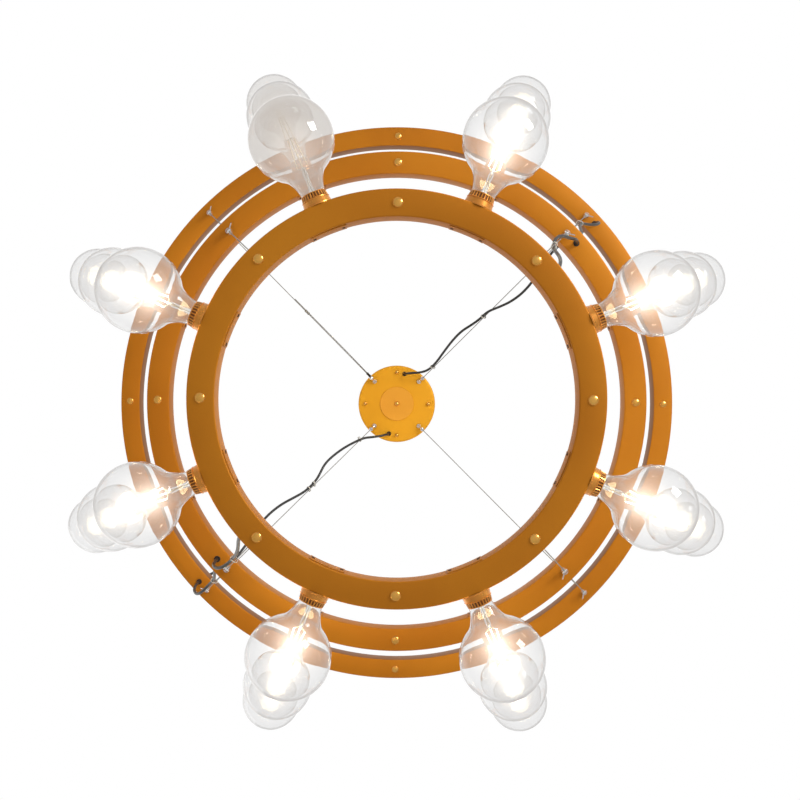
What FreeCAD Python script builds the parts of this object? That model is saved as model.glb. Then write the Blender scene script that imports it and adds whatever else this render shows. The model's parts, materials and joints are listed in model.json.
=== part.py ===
import FreeCAD, Part
import math
import os
import Sketcher

# Three-tier wagon wheel chandelier: three square-tube steel rings of growing size, the largest on top,
# hung under a round ceiling canopy by steel wires. Each ring carries a row of globe lamps that point
# straight outward. Millimetres, +Z up, origin on the ceiling in the middle of the canopy.

doc = FreeCAD.newDocument("WagonWheelChandelier")
sheet = doc.addObject("Spreadsheet::Sheet", "Sizes")

SIZES = [
    # rings
    ("upperRadius", 600, "outside radius of the upper ring"),
    ("middleRadius", 450, "outside radius of the middle ring"),
    ("lowerRadius", 300, "outside radius of the lower ring"),
    ("ringSection", 40, "outside width and height of the square ring tube"),
    ("ringWall", 2, "wall of the ring tube"),
    ("firstDrop", 450, "ceiling to the top face of the upper ring"),
    ("tierSpacing", 400, "top face of one ring to the top face of the next"),
    ("lampCount", 8, "lamps on each ring"),
    ("wireCount", 4, "wires that carry each ring"),
    # lamp sockets
    ("cupLength", 19, "length of a socket cup outside the ring"),
    ("cupBaseRadius", 22, "socket cup at the ring"),
    ("cupBandRadius", 20.6, "end of the cup's smooth band"),
    ("cupBandLength", 10, "length of the cup's smooth band"),
    ("cupFluteRadius", 20, "start of the cup's outer band"),
    ("cupRimRadius", 18.4, "socket cup at its rim"),
    ("cupWall", 1.1, "wall of the cup at its rim"),
    ("holderRadius", 16, "outside radius of a lampholder"),
    ("holderEndWall", 3, "closed inner end of a lampholder"),
    ("holderFlangeRadius", 19, "collar of the lampholder against the ring"),
    ("holderFlangeThickness", 2, "thickness of that collar"),
    ("holderHoleClearance", 0.5, "lampholder to its hole in the ring"),
    ("screwShellClearance", 0.25, "bulb base to the lampholder's bore"),
    ("seatClearance", 0.1, "between curved faces that seat on each other"),
    # bulbs
    ("bulbBaseRadius", 13.15, "medium screw base of a bulb"),
    ("bulbBaseLength", 22, "cylinder of the screw base"),
    ("bulbTipLength", 3, "cone under the screw base"),
    ("bulbTipRadius", 7, "end of that cone"),
    ("bulbContactLength", 1.5, "centre contact"),
    ("bulbContactRadius", 4.5, "centre contact"),
    ("bulbContactGap", 0.3, "centre contact to the lampholder's end"),
    ("bulbSink", 1, "start of the glass inside the cup's rim"),
    ("bulbNeckRadius", 16.9, "glass at the screw base"),
    ("bulbShoulderLength", 14, "length of the straight glass neck"),
    ("bulbShoulderRadius", 18.6, "glass at the end of the neck"),
    ("globeRadius", 62.5, "globe of a bulb"),
    ("globeCentre", 90.5, "screw base to the middle of the globe"),
    ("globeNeckAngle", 39, "where the neck joins the globe, from the globe's axis"),
    ("glassWall", 1, "wall of the glass"),
    ("stemRadius", 4.5, "glass stem at the base"),
    ("stemLength", 48, "glass stem"),
    ("filamentLength", 44, "length of a filament stick"),
    ("filamentWidth", 1.6, "thickness of a filament stick"),
    ("filamentSpread", 9, "filament stick to the bulb's axis"),
    ("spiderThickness", 1, "wire cross that holds the filament sticks"),
    # access covers behind the lamps
    ("coverArc", 54, "length of an access cover round the ring's inner wall"),
    ("coverHeight", 30, "height of an access cover"),
    ("coverThickness", 1.5, "thickness of an access cover"),
    ("windowMargin", 5, "overlap of the cover beyond its window"),
    # rivets in the rings' lower faces
    ("rivetHeadRadius", 8, "domed rivet head"),
    ("rivetHeadHeight", 3.6, "domed rivet head"),
    ("rivetShankRadius", 3, "rivet shank"),
    ("rivetShankLength", 8, "rivet shank above the face"),
    ("rivetTailRadius", 4.5, "formed tail inside the tube"),
    ("rivetHoleClearance", 0.3, "shank to its hole"),
    ("lowerRivets", 8, "rivets on the lower ring"),
    # wires and their fittings
    ("wireRadius", 1, "steel wire"),
    ("wireBoreClearance", 0.3, "wire to the bore of its fitting"),
    ("collarRadius", 6, "screwed collar of a wire fitting"),
    ("collarHeight", 4, "screwed collar of a wire fitting"),
    ("gripperRadius", 5, "barrel of a wire gripper"),
    ("gripperLength", 16, "barrel of a wire gripper"),
    ("gripperNoseLength", 5, "tapered nose of a wire gripper"),
    ("gripperNoseRadius", 2.6, "end of that nose"),
    ("gripperRootRadius", 3.2, "inner end of a gripper's barrel"),
    ("gripperRootLength", 3.4, "taper at the inner end of a gripper's barrel"),
    ("gripperRootInset", 1.4, "depth of that inner end behind the collar's face, along the barrel"),
    ("terminalRadius", 4, "barrel of a wire terminal on a ring"),
    ("terminalLength", 13, "barrel of a wire terminal on a ring"),
    ("terminalRootRadius", 2.4, "inner end of a terminal's barrel"),
    ("terminalRootLength", 2.8, "taper at the inner end of a terminal's barrel"),
    ("terminalRootInset", 1.4, "depth of that inner end behind the collar's face, along the barrel"),
    ("boreSocketDepth", 3, "solid end left under a wire's bore"),
    ("spigotRadius", 3, "threaded spigot of a fitting"),
    ("spigotHoleClearance", 0.3, "spigot to its hole"),
    ("spigotNutWidth", 10, "nut on the spigot across its flats"),
    ("spigotNutHeight", 4, "nut on the spigot"),
    ("spigotEnd", 1, "spigot that shows above its nut"),
    ("sleeveRadius", 2.6, "crimp sleeve on the wire with a tail"),
    ("sleeveLength", 14, "crimp sleeve"),
    ("sleevePlace", 150, "canopy fitting to the crimp sleeve"),
    # canopy
    ("canopyRadius", 100, "outside radius of the canopy dish"),
    ("canopyDepth", 30, "depth of the canopy dish"),
    ("canopyWall", 1.5, "wall of the canopy dish"),
    ("canopyCorner", 5, "rounded corner of the canopy dish"),
    ("fixingInset", 18, "circle of cap nuts and wire grippers, in from the edge of the dish"),
    ("plateClearance", 6.5, "mounting plate to the wall of the dish"),
    ("plateThickness", 3, "mounting plate"),
    ("plateCentreHole", 15, "radius of the supply hole in the plate"),
    ("anchorCircle", 70, "radius of the circle of ceiling anchor holes"),
    ("anchorHole", 3.25, "radius of an anchor hole"),
    ("anchorCount", 4, "ceiling anchor holes"),
    ("slotSpacing", 88.9, "ceiling box slots, middle to middle"),
    ("slotWidth", 5, "ceiling box slots"),
    ("slotLength", 14, "ceiling box slots, end to end"),
    ("studRadius", 3, "canopy stud"),
    ("studCount", 4, "canopy studs"),
    ("studHoleClearance", 0.3, "stud to its hole in the dish"),
    ("studInNut", 4, "stud beyond the face of the dish"),
    ("capNutRadius", 5, "domed cap nut"),
    ("capNutSide", 4.5, "straight side of a cap nut"),
    ("capNutDome", 4, "dome of a cap nut"),
    ("capNutThread", 0.1, "stud to the cap nut's bore"),
    ("coverDiscRadius", 44, "centre disc under the dish"),
    ("coverDiscThickness", 2.5, "centre disc"),
    ("centreHeadRadius", 6.5, "domed head of the centre screw"),
    ("centreHeadHeight", 4.5, "domed head of the centre screw"),
    ("centreShankRadius", 3, "centre screw"),
    ("centreBossRadius", 7, "tapped boss inside the dish"),
    ("centreBossHeight", 7, "tapped boss inside the dish"),
    ("centreThread", 0.1, "centre screw to its boss"),
    ("centreClearance", 0.4, "centre screw to the disc"),
    ("blockLength", 34, "terminal block"),
    ("blockWidth", 20, "terminal block"),
    ("blockHeight", 14, "terminal block"),
    ("blockPlace", 38, "terminal block, from the middle of the canopy"),
    ("blockPoles", 3, "poles of the terminal block"),
    ("poleSpacing", 10, "poles, middle to middle"),
    ("poleRadius", 2, "wire hole of a pole"),
    ("poleScrewRadius", 1.6, "screw hole of a pole"),
    ("poleScrewDepth", 6, "screw hole of a pole"),
    # cables
    ("cableRadius", 3, "round lamp cable"),
    ("cableBoreClearance", 0.3, "cable to its bushing or grommet"),
    ("bushingX", 20, "canopy cable bushing, from the middle"),
    ("bushingInset", 22, "canopy cable bushing, in from the edge of the dish"),
    ("bushingFlangeRadius", 5.6, "flange of a bushing or grommet"),
    ("bushingFlangeHeight", 2.4, "flange of a bushing or grommet"),
    ("bushingNeckRadius", 4.5, "neck of a bushing or grommet"),
    ("bushingNeckLength", 5, "neck beyond the face that it sits in"),
    ("bushingHoleClearance", 0.1, "neck to its hole"),
    ("cableHoleOffset", 25, "cable hole to the wire fitting, across the ring"),
    ("loomWidth", 4, "flat lamp wiring inside a ring"),
    ("loomHeight", 5, "flat lamp wiring inside a ring"),
    ("loomInset", 1, "lamp wiring to the ring's inner wall"),
    ("tieWidth", 3, "width of a cable tie"),
    ("tieThickness", 1.1, "thickness of a cable tie"),
    ("tieClearance", 0.5, "cable to its tie"),
]

for row, (alias, value, note) in enumerate(SIZES, start=1):
    sheet.set(f"A{row}", note)
    sheet.set(f"B{row}", str(value))
    sheet.setAlias(f"B{row}", alias)
doc.recompute()


def size(alias):
    return float(sheet.get(alias))


TIERS = ["upper", "middle", "lower"]  # from the ceiling down
DOME_STEPS = 3  # flats along the outline of a small domed head
CORNER_STEPS = 2  # flats along the dish's corner

RING_TOP = {name: f"(-Sizes.firstDrop - {step} * Sizes.tierSpacing)" for step, name in enumerate(TIERS)}
RING_MIDDLE = {name: f"({RING_TOP[name]} - Sizes.ringSection / 2)" for name in TIERS}
RADIUS = {name: f"Sizes.{name}Radius" for name in TIERS}
LAMP_TURN = "(180 / Sizes.lampCount)"  # half a lamp's share of the ring, in degrees
WIRE_TURN = "(180 / Sizes.wireCount)"  # the wires lie half way between the X and Y axes
PLATE_RADIUS = "Sizes.canopyRadius - Sizes.canopyWall - Sizes.plateClearance"
FIXING_CIRCLE = "(Sizes.canopyRadius - Sizes.fixingInset)"  # cap nuts and wire grippers lie on it
BUSHING_Y = "Sizes.bushingInset - Sizes.canopyRadius"

subParts = []


def publish(item, node):
    item.Label = node
    subParts.append(item)
    return item


def value(text):
    return float(sheet.evalExpression(text))


# ---- drawing helpers -------------------------------------------------------------------------------

def new_body(name):
    return doc.addObject("PartDesign::Body", name)


def origin_feature(body, role):
    return next(item for item in body.Origin.OriginFeatures if item.Role == role)


def new_sketch(body, role, offset=None):
    sketch = body.newObject("Sketcher::SketchObject", body.Name + "Sketch")
    sketch.AttachmentSupport = (origin_feature(body, role), "")
    sketch.MapMode = "FlatFace"
    if offset:
        sketch.setExpression("AttachmentOffset.Base.z", offset)
    return sketch


def place_point(sketch, item, point, texts):
    for kind, text in zip(("DistanceX", "DistanceY"), texts):
        index = sketch.addConstraint(Sketcher.Constraint(kind, -1, 1, item, point, value(text)))
        sketch.setExpression(f"Constraints[{index}]", text)


def draw_outline(sketch, corners):
    # closed outline of straight lines through corners given as pairs of expressions
    first = sketch.GeometryCount
    spots = [FreeCAD.Vector(value(x), value(y), 0) for x, y in corners]
    for index, spot in enumerate(spots):
        sketch.addGeometry(Part.LineSegment(spot, spots[(index + 1) % len(spots)]))
    for index in range(len(spots)):
        following = first + (index + 1) % len(spots)
        sketch.addConstraint(Sketcher.Constraint("Coincident", first + index, 2, following, 1))
    for index, texts in enumerate(corners):
        place_point(sketch, first + index, 1, texts)


def draw_circle(sketch, x, y, radius):
    centre = FreeCAD.Vector(value(x), value(y), 0)
    item = sketch.addGeometry(Part.Circle(centre, FreeCAD.Vector(0, 0, 1), value(radius)))
    place_point(sketch, item, 3, (x, y))
    index = sketch.addConstraint(Sketcher.Constraint("Radius", item, value(radius)))
    sketch.setExpression(f"Constraints[{index}]", radius)


def draw_axis(sketch, x):
    # upright construction line, the axis of a turned piece that stands off the middle
    spots = (FreeCAD.Vector(value(x), -1, 0), FreeCAD.Vector(value(x), 1, 0))
    item = sketch.addGeometry(Part.LineSegment(*spots), True)
    place_point(sketch, item, 1, (x, "-1"))
    place_point(sketch, item, 2, (x, "1"))


def turn(body, sketch, axis, angle="360", kind="PartDesign::Revolution", midplane=False):
    feature = body.newObject(kind, body.Name + "Turn")
    feature.Profile = sketch
    feature.ReferenceAxis = axis
    feature.setExpression("Angle", angle)
    feature.Midplane = midplane
    sketch.Visibility = False
    return feature


def turned_piece(body, corners, role="Z_Axis", plane="XZ_Plane"):
    sketch = new_sketch(body, plane)
    draw_outline(sketch, corners)
    return turn(body, sketch, (origin_feature(body, role), [""]))


def turned_off_axis(body, x, corners):
    sketch = new_sketch(body, "XZ_Plane")
    draw_outline(sketch, [(f"{x} + {across}", up) for across, up in corners])
    draw_axis(sketch, x)
    return turn(body, sketch, (sketch, ["Axis0"]))


def pad(body, sketch, length, reverse=False):
    feature = body.newObject("PartDesign::Pad", body.Name + "Pad")
    feature.Profile = sketch
    feature.setExpression("Length", length)
    feature.Reversed = reverse
    return feature


def pocket(body, sketch, length, reverse=False):
    feature = body.newObject("PartDesign::Pocket", body.Name + "Pocket")
    feature.Profile = sketch
    feature.setExpression("Length", length)
    feature.Reversed = reverse
    return feature


def repeat_round(body, features, count):
    pattern = body.newObject("PartDesign::PolarPattern", body.Name + "Pattern")
    pattern.Originals = features
    pattern.Axis = (origin_feature(body, "Z_Axis"), [""])
    pattern.Angle = 360
    pattern.setExpression("Occurrences", count)
    body.Tip = pattern
    return pattern


def drop_to(item, height, angle="0"):
    item.setExpression(".Placement.Base.z", height)
    item.Placement.Rotation = FreeCAD.Rotation(FreeCAD.Vector(0, 0, 1), value(angle))
    item.setExpression(".Placement.Rotation.Angle", angle)


def dome(radius, height, base="0", steps=DOME_STEPS):
    # outline of a domed head that hangs down, from its rim to its middle
    points = []
    for step in range(steps + 1):
        angle = 90 * step / steps
        points.append((f"{radius} * cos({angle})", f"{base} - {height} * sin({angle})"))
    return points


# ---- canopy ----------------------------------------------------------------------------------------

SLOT_REACH = "(Sizes.slotLength - Sizes.slotWidth) / 2"


def slot_end(body, side):
    sketch = new_sketch(body, "XY_Plane")
    draw_circle(sketch, f"Sizes.slotSpacing / 2 {side} {SLOT_REACH}", "0", "Sizes.slotWidth / 2")
    return sketch


def slot_middle(body):
    sketch = new_sketch(body, "XY_Plane")
    draw_outline(sketch, [
        (f"Sizes.slotSpacing / 2 - {SLOT_REACH}", "-Sizes.slotWidth / 2"),
        (f"Sizes.slotSpacing / 2 + {SLOT_REACH}", "-Sizes.slotWidth / 2"),
        (f"Sizes.slotSpacing / 2 + {SLOT_REACH}", "Sizes.slotWidth / 2"),
        (f"Sizes.slotSpacing / 2 - {SLOT_REACH}", "Sizes.slotWidth / 2"),
    ])
    return sketch


def ceiling_plate():
    # round steel plate screwed to the ceiling: supply hole, anchor holes and two slots for a ceiling box
    body = new_body("CeilingPlate")
    disc = new_sketch(body, "XY_Plane")
    draw_circle(disc, "0", "0", PLATE_RADIUS)
    draw_circle(disc, "0", "0", "Sizes.plateCentreHole")
    pad(body, disc, "Sizes.plateThickness", reverse=True)
    anchors = new_sketch(body, "XY_Plane")
    draw_circle(
        anchors,
        f"Sizes.anchorCircle * cos({WIRE_TURN})",
        f"Sizes.anchorCircle * sin({WIRE_TURN})",
        "Sizes.anchorHole",
    )
    repeat_round(body, [pocket(body, anchors, "Sizes.plateThickness")], "Sizes.anchorCount")
    slot = [slot_end(body, "-"), slot_end(body, "+"), slot_middle(body)]
    repeat_round(body, [pocket(body, sketch, "Sizes.plateThickness") for sketch in slot], "2")
    publish(body, "ceiling_plate")


def canopy_studs():
    # studs welded under the plate, one through the dish at each cap nut
    body = new_body("CanopyStuds")
    sketch = new_sketch(body, "XY_Plane", "-Sizes.plateThickness")
    draw_circle(sketch, FIXING_CIRCLE, "0", "Sizes.studRadius")
    length = "Sizes.canopyDepth - Sizes.plateThickness + Sizes.studInNut"
    repeat_round(body, [pad(body, sketch, length, reverse=True)], "Sizes.studCount")
    publish(body, "canopy_studs")


def canopy_dish():
    # spun dish with a rounded corner and a tapped boss in the middle of its floor
    body = new_body("CanopyDish")
    outer = []
    inner = []
    for step in range(CORNER_STEPS + 1):
        angle = 90 * step / CORNER_STEPS
        across = f"Sizes.canopyRadius - Sizes.canopyCorner + Sizes.canopyCorner * cos({angle})"
        down = f"-Sizes.canopyDepth + Sizes.canopyCorner - Sizes.canopyCorner * sin({angle})"
        outer.append((across, down))
        bend = "(Sizes.canopyCorner - Sizes.canopyWall)"
        across = f"Sizes.canopyRadius - Sizes.canopyCorner + {bend} * cos({angle})"
        down = f"-Sizes.canopyDepth + Sizes.canopyCorner - {bend} * sin({angle})"
        inner.append((across, down))
    boss_top = "-Sizes.canopyDepth + Sizes.centreBossHeight"
    floor = "-Sizes.canopyDepth + Sizes.canopyWall"
    thread = "Sizes.centreShankRadius + Sizes.centreThread"
    turned_piece(body, [
        ("Sizes.canopyRadius", "0"),
        *outer,
        (thread, "-Sizes.canopyDepth"),
        (thread, boss_top),
        ("Sizes.centreBossRadius", boss_top),
        ("Sizes.centreBossRadius", floor),
        *reversed(inner),
        ("Sizes.canopyRadius - Sizes.canopyWall", "0"),
    ])
    through = "Sizes.canopyWall + 1"
    studs = new_sketch(body, "XY_Plane", "-Sizes.canopyDepth")
    draw_circle(studs, FIXING_CIRCLE, "0", "Sizes.studRadius + Sizes.studHoleClearance")
    repeat_round(body, [pocket(body, studs, through, reverse=True)], "Sizes.studCount")
    spigots = new_sketch(body, "XY_Plane", "-Sizes.canopyDepth")
    draw_circle(
        spigots,
        f"{FIXING_CIRCLE} * cos({WIRE_TURN})",
        f"{FIXING_CIRCLE} * sin({WIRE_TURN})",
        "Sizes.spigotRadius + Sizes.spigotHoleClearance",
    )
    repeat_round(body, [pocket(body, spigots, through, reverse=True)], "Sizes.wireCount")
    cables = new_sketch(body, "XY_Plane", "-Sizes.canopyDepth")
    draw_circle(
        cables, "Sizes.bushingX", BUSHING_Y, "Sizes.bushingNeckRadius + Sizes.bushingHoleClearance"
    )
    repeat_round(body, [pocket(body, cables, through, reverse=True)], "2")
    publish(body, "canopy_dish")


def canopy_cover():
    # flat disc on the dish's face, with an eased lower edge
    body = new_body("CanopyCover")
    hole = "Sizes.centreShankRadius + Sizes.centreClearance"
    bottom = "-Sizes.canopyDepth - Sizes.coverDiscThickness"
    turned_piece(body, [
        (hole, "-Sizes.canopyDepth"),
        ("Sizes.coverDiscRadius", "-Sizes.canopyDepth"),
        ("Sizes.coverDiscRadius", "-Sizes.canopyDepth - Sizes.coverDiscThickness / 2"),
        ("Sizes.coverDiscRadius - Sizes.coverDiscThickness / 2", bottom),
        (hole, bottom),
    ])
    publish(body, "canopy_cover")


def canopy_centre_screw():
    body = new_body("CanopyCentreScrew")
    seat = "-Sizes.canopyDepth - Sizes.coverDiscThickness"
    top = "-Sizes.canopyDepth + Sizes.centreBossHeight"
    turned_piece(body, [
        ("0", top),
        ("Sizes.centreShankRadius", top),
        ("Sizes.centreShankRadius", seat),
        *dome("Sizes.centreHeadRadius", "Sizes.centreHeadHeight", seat),
    ])
    publish(body, "canopy_centre_screw")


def canopy_cap_nuts():
    # domed nuts screwed up against the dish's face
    body = new_body("CanopyCapNuts")
    face = "-Sizes.canopyDepth"
    thread = "Sizes.studRadius + Sizes.capNutThread"
    bottom = f"{face} - Sizes.studInNut - Sizes.capNutThread"
    nut = turned_off_axis(body, FIXING_CIRCLE, [
        ("0", bottom),
        (thread, bottom),
        (thread, face),
        ("Sizes.capNutRadius", face),
        *dome("Sizes.capNutRadius", "Sizes.capNutDome", f"{face} - Sizes.capNutSide"),
    ])
    repeat_round(body, [nut], "Sizes.studCount")
    publish(body, "canopy_cap_nuts")


def terminal_block():
    # supply terminals under the plate, beside the supply hole: wire holes across, clamp screws from below
    body = new_body("TerminalBlock")
    outline = new_sketch(body, "XY_Plane", "-Sizes.plateThickness")
    low = "Sizes.blockPlace - Sizes.blockWidth / 2"
    high = "Sizes.blockPlace + Sizes.blockWidth / 2"
    draw_outline(outline, [
        ("-Sizes.blockLength / 2", low),
        ("Sizes.blockLength / 2", low),
        ("Sizes.blockLength / 2", high),
        ("-Sizes.blockLength / 2", high),
    ])
    pad(body, outline, "Sizes.blockHeight", reverse=True)
    first_pole = "-(Sizes.blockPoles - 1) / 2 * Sizes.poleSpacing"
    for pole in range(int(size("blockPoles"))):
        across = f"{first_pole} + {pole} * Sizes.poleSpacing"
        hole = new_sketch(body, "XZ_Plane", f"-({high})")
        draw_circle(hole, across, "-Sizes.plateThickness - Sizes.blockHeight / 2", "Sizes.poleRadius")
        pocket(body, hole, "Sizes.blockWidth")
        screw = new_sketch(body, "XY_Plane", "-Sizes.plateThickness - Sizes.blockHeight")
        draw_circle(screw, across, "Sizes.blockPlace", "Sizes.poleScrewRadius")
        pocket(body, screw, "Sizes.poleScrewDepth", reverse=True)
    publish(body, "terminal_block")


def canopy_bushings():
    # flanged rubber bushings where the two lamp cables leave the dish
    body = new_body("CanopyBushings")
    face = "-Sizes.canopyDepth"
    for radius, length, reverse in (
        ("Sizes.bushingFlangeRadius", "Sizes.bushingFlangeHeight", True),
        ("Sizes.bushingNeckRadius", "Sizes.bushingNeckLength", False),
    ):
        sketch = new_sketch(body, "XY_Plane", face)
        draw_circle(sketch, "Sizes.bushingX", BUSHING_Y, radius)
        draw_circle(sketch, "Sizes.bushingX", BUSHING_Y, "Sizes.cableRadius + Sizes.cableBoreClearance")
        repeat_round(body, [pad(body, sketch, length, reverse=reverse)], "2")
    publish(body, "canopy_bushings")


# ---- rings -----------------------------------------------------------------------------------------

def wall_holes(body, face, x, y, radius):
    # round hole through the ring's lower or upper wall
    sketch = new_sketch(body, "XY_Plane")
    draw_circle(sketch, x, y, radius)
    return pocket(body, sketch, "Sizes.ringSection / 2 + 1", reverse=(face == "top"))


def ring(name):
    # hollow square tube rolled to a ring. It is drawn with a lamp on its X axis and then turned.
    body = new_body(name.capitalize() + "Ring")
    outside = RADIUS[name]
    half = "Sizes.ringSection / 2"
    inset = f"({half} - Sizes.ringWall)"
    middle = f"({outside} - {half})"
    section = new_sketch(body, "XZ_Plane")
    for reach in (half, inset):
        draw_outline(section, [
            (f"{middle} - {reach}", f"-{reach}"),
            (f"{middle} + {reach}", f"-{reach}"),
            (f"{middle} + {reach}", f"{reach}"),
            (f"{middle} - {reach}", f"{reach}"),
        ])
    turn(body, section, (origin_feature(body, "Z_Axis"), [""]))
    socket = new_sketch(body, "YZ_Plane", middle)
    draw_circle(socket, "0", "0", "Sizes.holderRadius + Sizes.holderHoleClearance")
    socket_hole = pocket(body, socket, f"{half} + 1", reverse=True)
    window = new_sketch(body, "YZ_Plane", middle)
    across = "(Sizes.coverArc / 2 - Sizes.windowMargin)"
    up = "(Sizes.coverHeight / 2 - Sizes.windowMargin)"
    draw_outline(window, [
        (f"-{across}", f"-{up}"), (f"{across}", f"-{up}"), (f"{across}", f"{up}"), (f"-{across}", f"{up}"),
    ])
    access = pocket(body, window, f"{half} + 1 + {across} * {across} / {middle}")
    repeat_round(body, [socket_hole, access], "Sizes.lampCount")
    spigot = "Sizes.spigotRadius + Sizes.spigotHoleClearance"
    wire_angle = f"({WIRE_TURN} - {LAMP_TURN})"
    wire_spot = (f"{middle} * cos({wire_angle})", f"{middle} * sin({wire_angle})")
    repeat_round(body, [wall_holes(body, "top", *wire_spot, spigot)], "Sizes.wireCount")
    shank = "Sizes.rivetShankRadius + Sizes.rivetHoleClearance"
    rivet_spot = (f"{middle} * cos(-{LAMP_TURN})", f"{middle} * sin(-{LAMP_TURN})")
    rivets = "Sizes.lowerRivets" if name == TIERS[-1] else "Sizes.wireCount"
    repeat_round(body, [wall_holes(body, "bottom", *rivet_spot, shank)], rivets)
    cable_angle = f"(-{WIRE_TURN} - {LAMP_TURN} + Sizes.cableHoleOffset / {middle} * 180 / pi)"
    cable_spot = (f"{middle} * cos({cable_angle})", f"{middle} * sin({cable_angle})")
    neck = "Sizes.bushingNeckRadius + Sizes.bushingHoleClearance"
    repeat_round(body, [wall_holes(body, "top", *cable_spot, neck)], "2")
    if name != TIERS[-1]:
        repeat_round(body, [wall_holes(body, "bottom", *wire_spot, spigot)], "Sizes.wireCount")
        repeat_round(body, [wall_holes(body, "bottom", *cable_spot, neck)], "2")
    drop_to(body, RING_MIDDLE[name], LAMP_TURN)
    publish(body, f"{name}_ring")


def socket_cups(name):
    # spun cup over each socket: a smooth band, a step, an outer band, and a foot cut to the ring's curve
    body = new_body(name.capitalize() + "Cups")
    outside = RADIUS[name]
    rim = f"{outside} + Sizes.cupLength"
    step = f"{outside} + Sizes.cupBandLength"
    foot = f"{outside} - Sizes.cupWall"
    cup = turned_piece(body, [
        (foot, "Sizes.cupBaseRadius"),
        (step, "Sizes.cupBandRadius"),
        (step, "Sizes.cupFluteRadius"),
        (rim, "Sizes.cupRimRadius"),
        (rim, "Sizes.cupRimRadius - Sizes.cupWall"),
        (foot, "Sizes.cupBaseRadius - Sizes.cupWall"),
    ], role="X_Axis")
    repeat_round(body, [cup], "Sizes.lampCount")
    seat = new_sketch(body, "XZ_Plane")
    draw_outline(seat, [
        (f"{outside} - Sizes.ringSection", "-Sizes.ringSection"),
        (f"{outside} + Sizes.seatClearance", "-Sizes.ringSection"),
        (f"{outside} + Sizes.seatClearance", "Sizes.ringSection"),
        (f"{outside} - Sizes.ringSection", "Sizes.ringSection"),
    ])
    turn(body, seat, (origin_feature(body, "Z_Axis"), [""]), kind="PartDesign::Groove")
    drop_to(body, RING_MIDDLE[name], LAMP_TURN)
    publish(body, f"{name}_socket_cups")


BULB_SEAT = "Sizes.cupLength - Sizes.bulbSink"  # start of the glass, from the ring's outside
BULB_REACH = "(Sizes.bulbBaseLength + Sizes.bulbTipLength + Sizes.bulbContactLength)"


def lampholders(name):
    # moulded lampholder through the ring's outer wall: a collar, a bore for the screw base, a closed end
    body = new_body(name.capitalize() + "Lampholders")
    outside = RADIUS[name]
    mouth = f"{outside} + {BULB_SEAT} - Sizes.bulbSink"
    bottom = f"{outside} + {BULB_SEAT} - {BULB_REACH} - Sizes.bulbContactGap"
    collar = f"{outside} + Sizes.holderFlangeThickness"
    bore = "Sizes.bulbBaseRadius + Sizes.screwShellClearance"
    holder = turned_piece(body, [
        (f"{bottom} - Sizes.holderEndWall", "0"),
        (f"{bottom} - Sizes.holderEndWall", "Sizes.holderRadius"),
        (outside, "Sizes.holderRadius"),
        (outside, "Sizes.holderFlangeRadius"),
        (collar, "Sizes.holderFlangeRadius"),
        (collar, "Sizes.holderRadius"),
        (mouth, "Sizes.holderRadius"),
        (mouth, bore),
        (bottom, bore),
        (bottom, "0"),
    ], role="X_Axis")
    repeat_round(body, [holder], "Sizes.lampCount")
    drop_to(body, RING_MIDDLE[name], LAMP_TURN)
    publish(body, f"{name}_lampholders")


def access_covers(name):
    # curved plates over the windows behind the lamps, on the ring's inner wall
    body = new_body(name.capitalize() + "Covers")
    face = f"({RADIUS[name]} - Sizes.ringSection - Sizes.seatClearance)"
    sketch = new_sketch(body, "XZ_Plane")
    draw_outline(sketch, [
        (f"{face} - Sizes.coverThickness", "-Sizes.coverHeight / 2"),
        (face, "-Sizes.coverHeight / 2"),
        (face, "Sizes.coverHeight / 2"),
        (f"{face} - Sizes.coverThickness", "Sizes.coverHeight / 2"),
    ])
    axis = (origin_feature(body, "Z_Axis"), [""])
    cover = turn(body, sketch, axis, angle=f"Sizes.coverArc / {face} * 180 / pi", midplane=True)
    repeat_round(body, [cover], "Sizes.lampCount")
    drop_to(body, RING_MIDDLE[name], LAMP_TURN)
    publish(body, f"{name}_access_covers")


def face_rivets():
    # domed rivets in the rings' lower faces, with their formed tails inside the tubes
    body = new_body("FaceRivets")
    for name in TIERS:
        face = f"({RING_MIDDLE[name]} - Sizes.ringSection / 2)"
        tail = f"{face} + Sizes.ringWall"
        rivet = turned_off_axis(body, f"{RADIUS[name]} - Sizes.ringSection / 2", [
            ("0", f"{face} + Sizes.rivetShankLength"),
            ("Sizes.rivetTailRadius", f"{face} + Sizes.rivetShankLength"),
            ("Sizes.rivetTailRadius", tail),
            ("Sizes.rivetShankRadius", tail),
            ("Sizes.rivetShankRadius", face),
            *dome("Sizes.rivetHeadRadius", "Sizes.rivetHeadHeight", face),
        ])
        repeat_round(body, [rivet], "Sizes.lowerRivets" if name == TIERS[-1] else "Sizes.wireCount")
    publish(body, "face_rivets")


def ring_wiring():
    # flat lamp wiring that lies in the corner of each ring's lower and inner walls
    body = new_body("RingWiring")
    for name in TIERS:
        inner = f"{RADIUS[name]} - Sizes.ringSection + Sizes.ringWall + Sizes.loomInset"
        floor = f"{RING_MIDDLE[name]} - Sizes.ringSection / 2 + Sizes.ringWall"
        sketch = new_sketch(body, "XZ_Plane")
        draw_outline(sketch, [
            (inner, floor),
            (f"{inner} + Sizes.loomWidth", floor),
            (f"{inner} + Sizes.loomWidth", f"{floor} + Sizes.loomHeight"),
            (inner, f"{floor} + Sizes.loomHeight"),
        ])
        turn(body, sketch, (origin_feature(body, "Z_Axis"), [""]))
    publish(body, "ring_wiring")


# ---- bulbs -----------------------------------------------------------------------------------------

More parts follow.
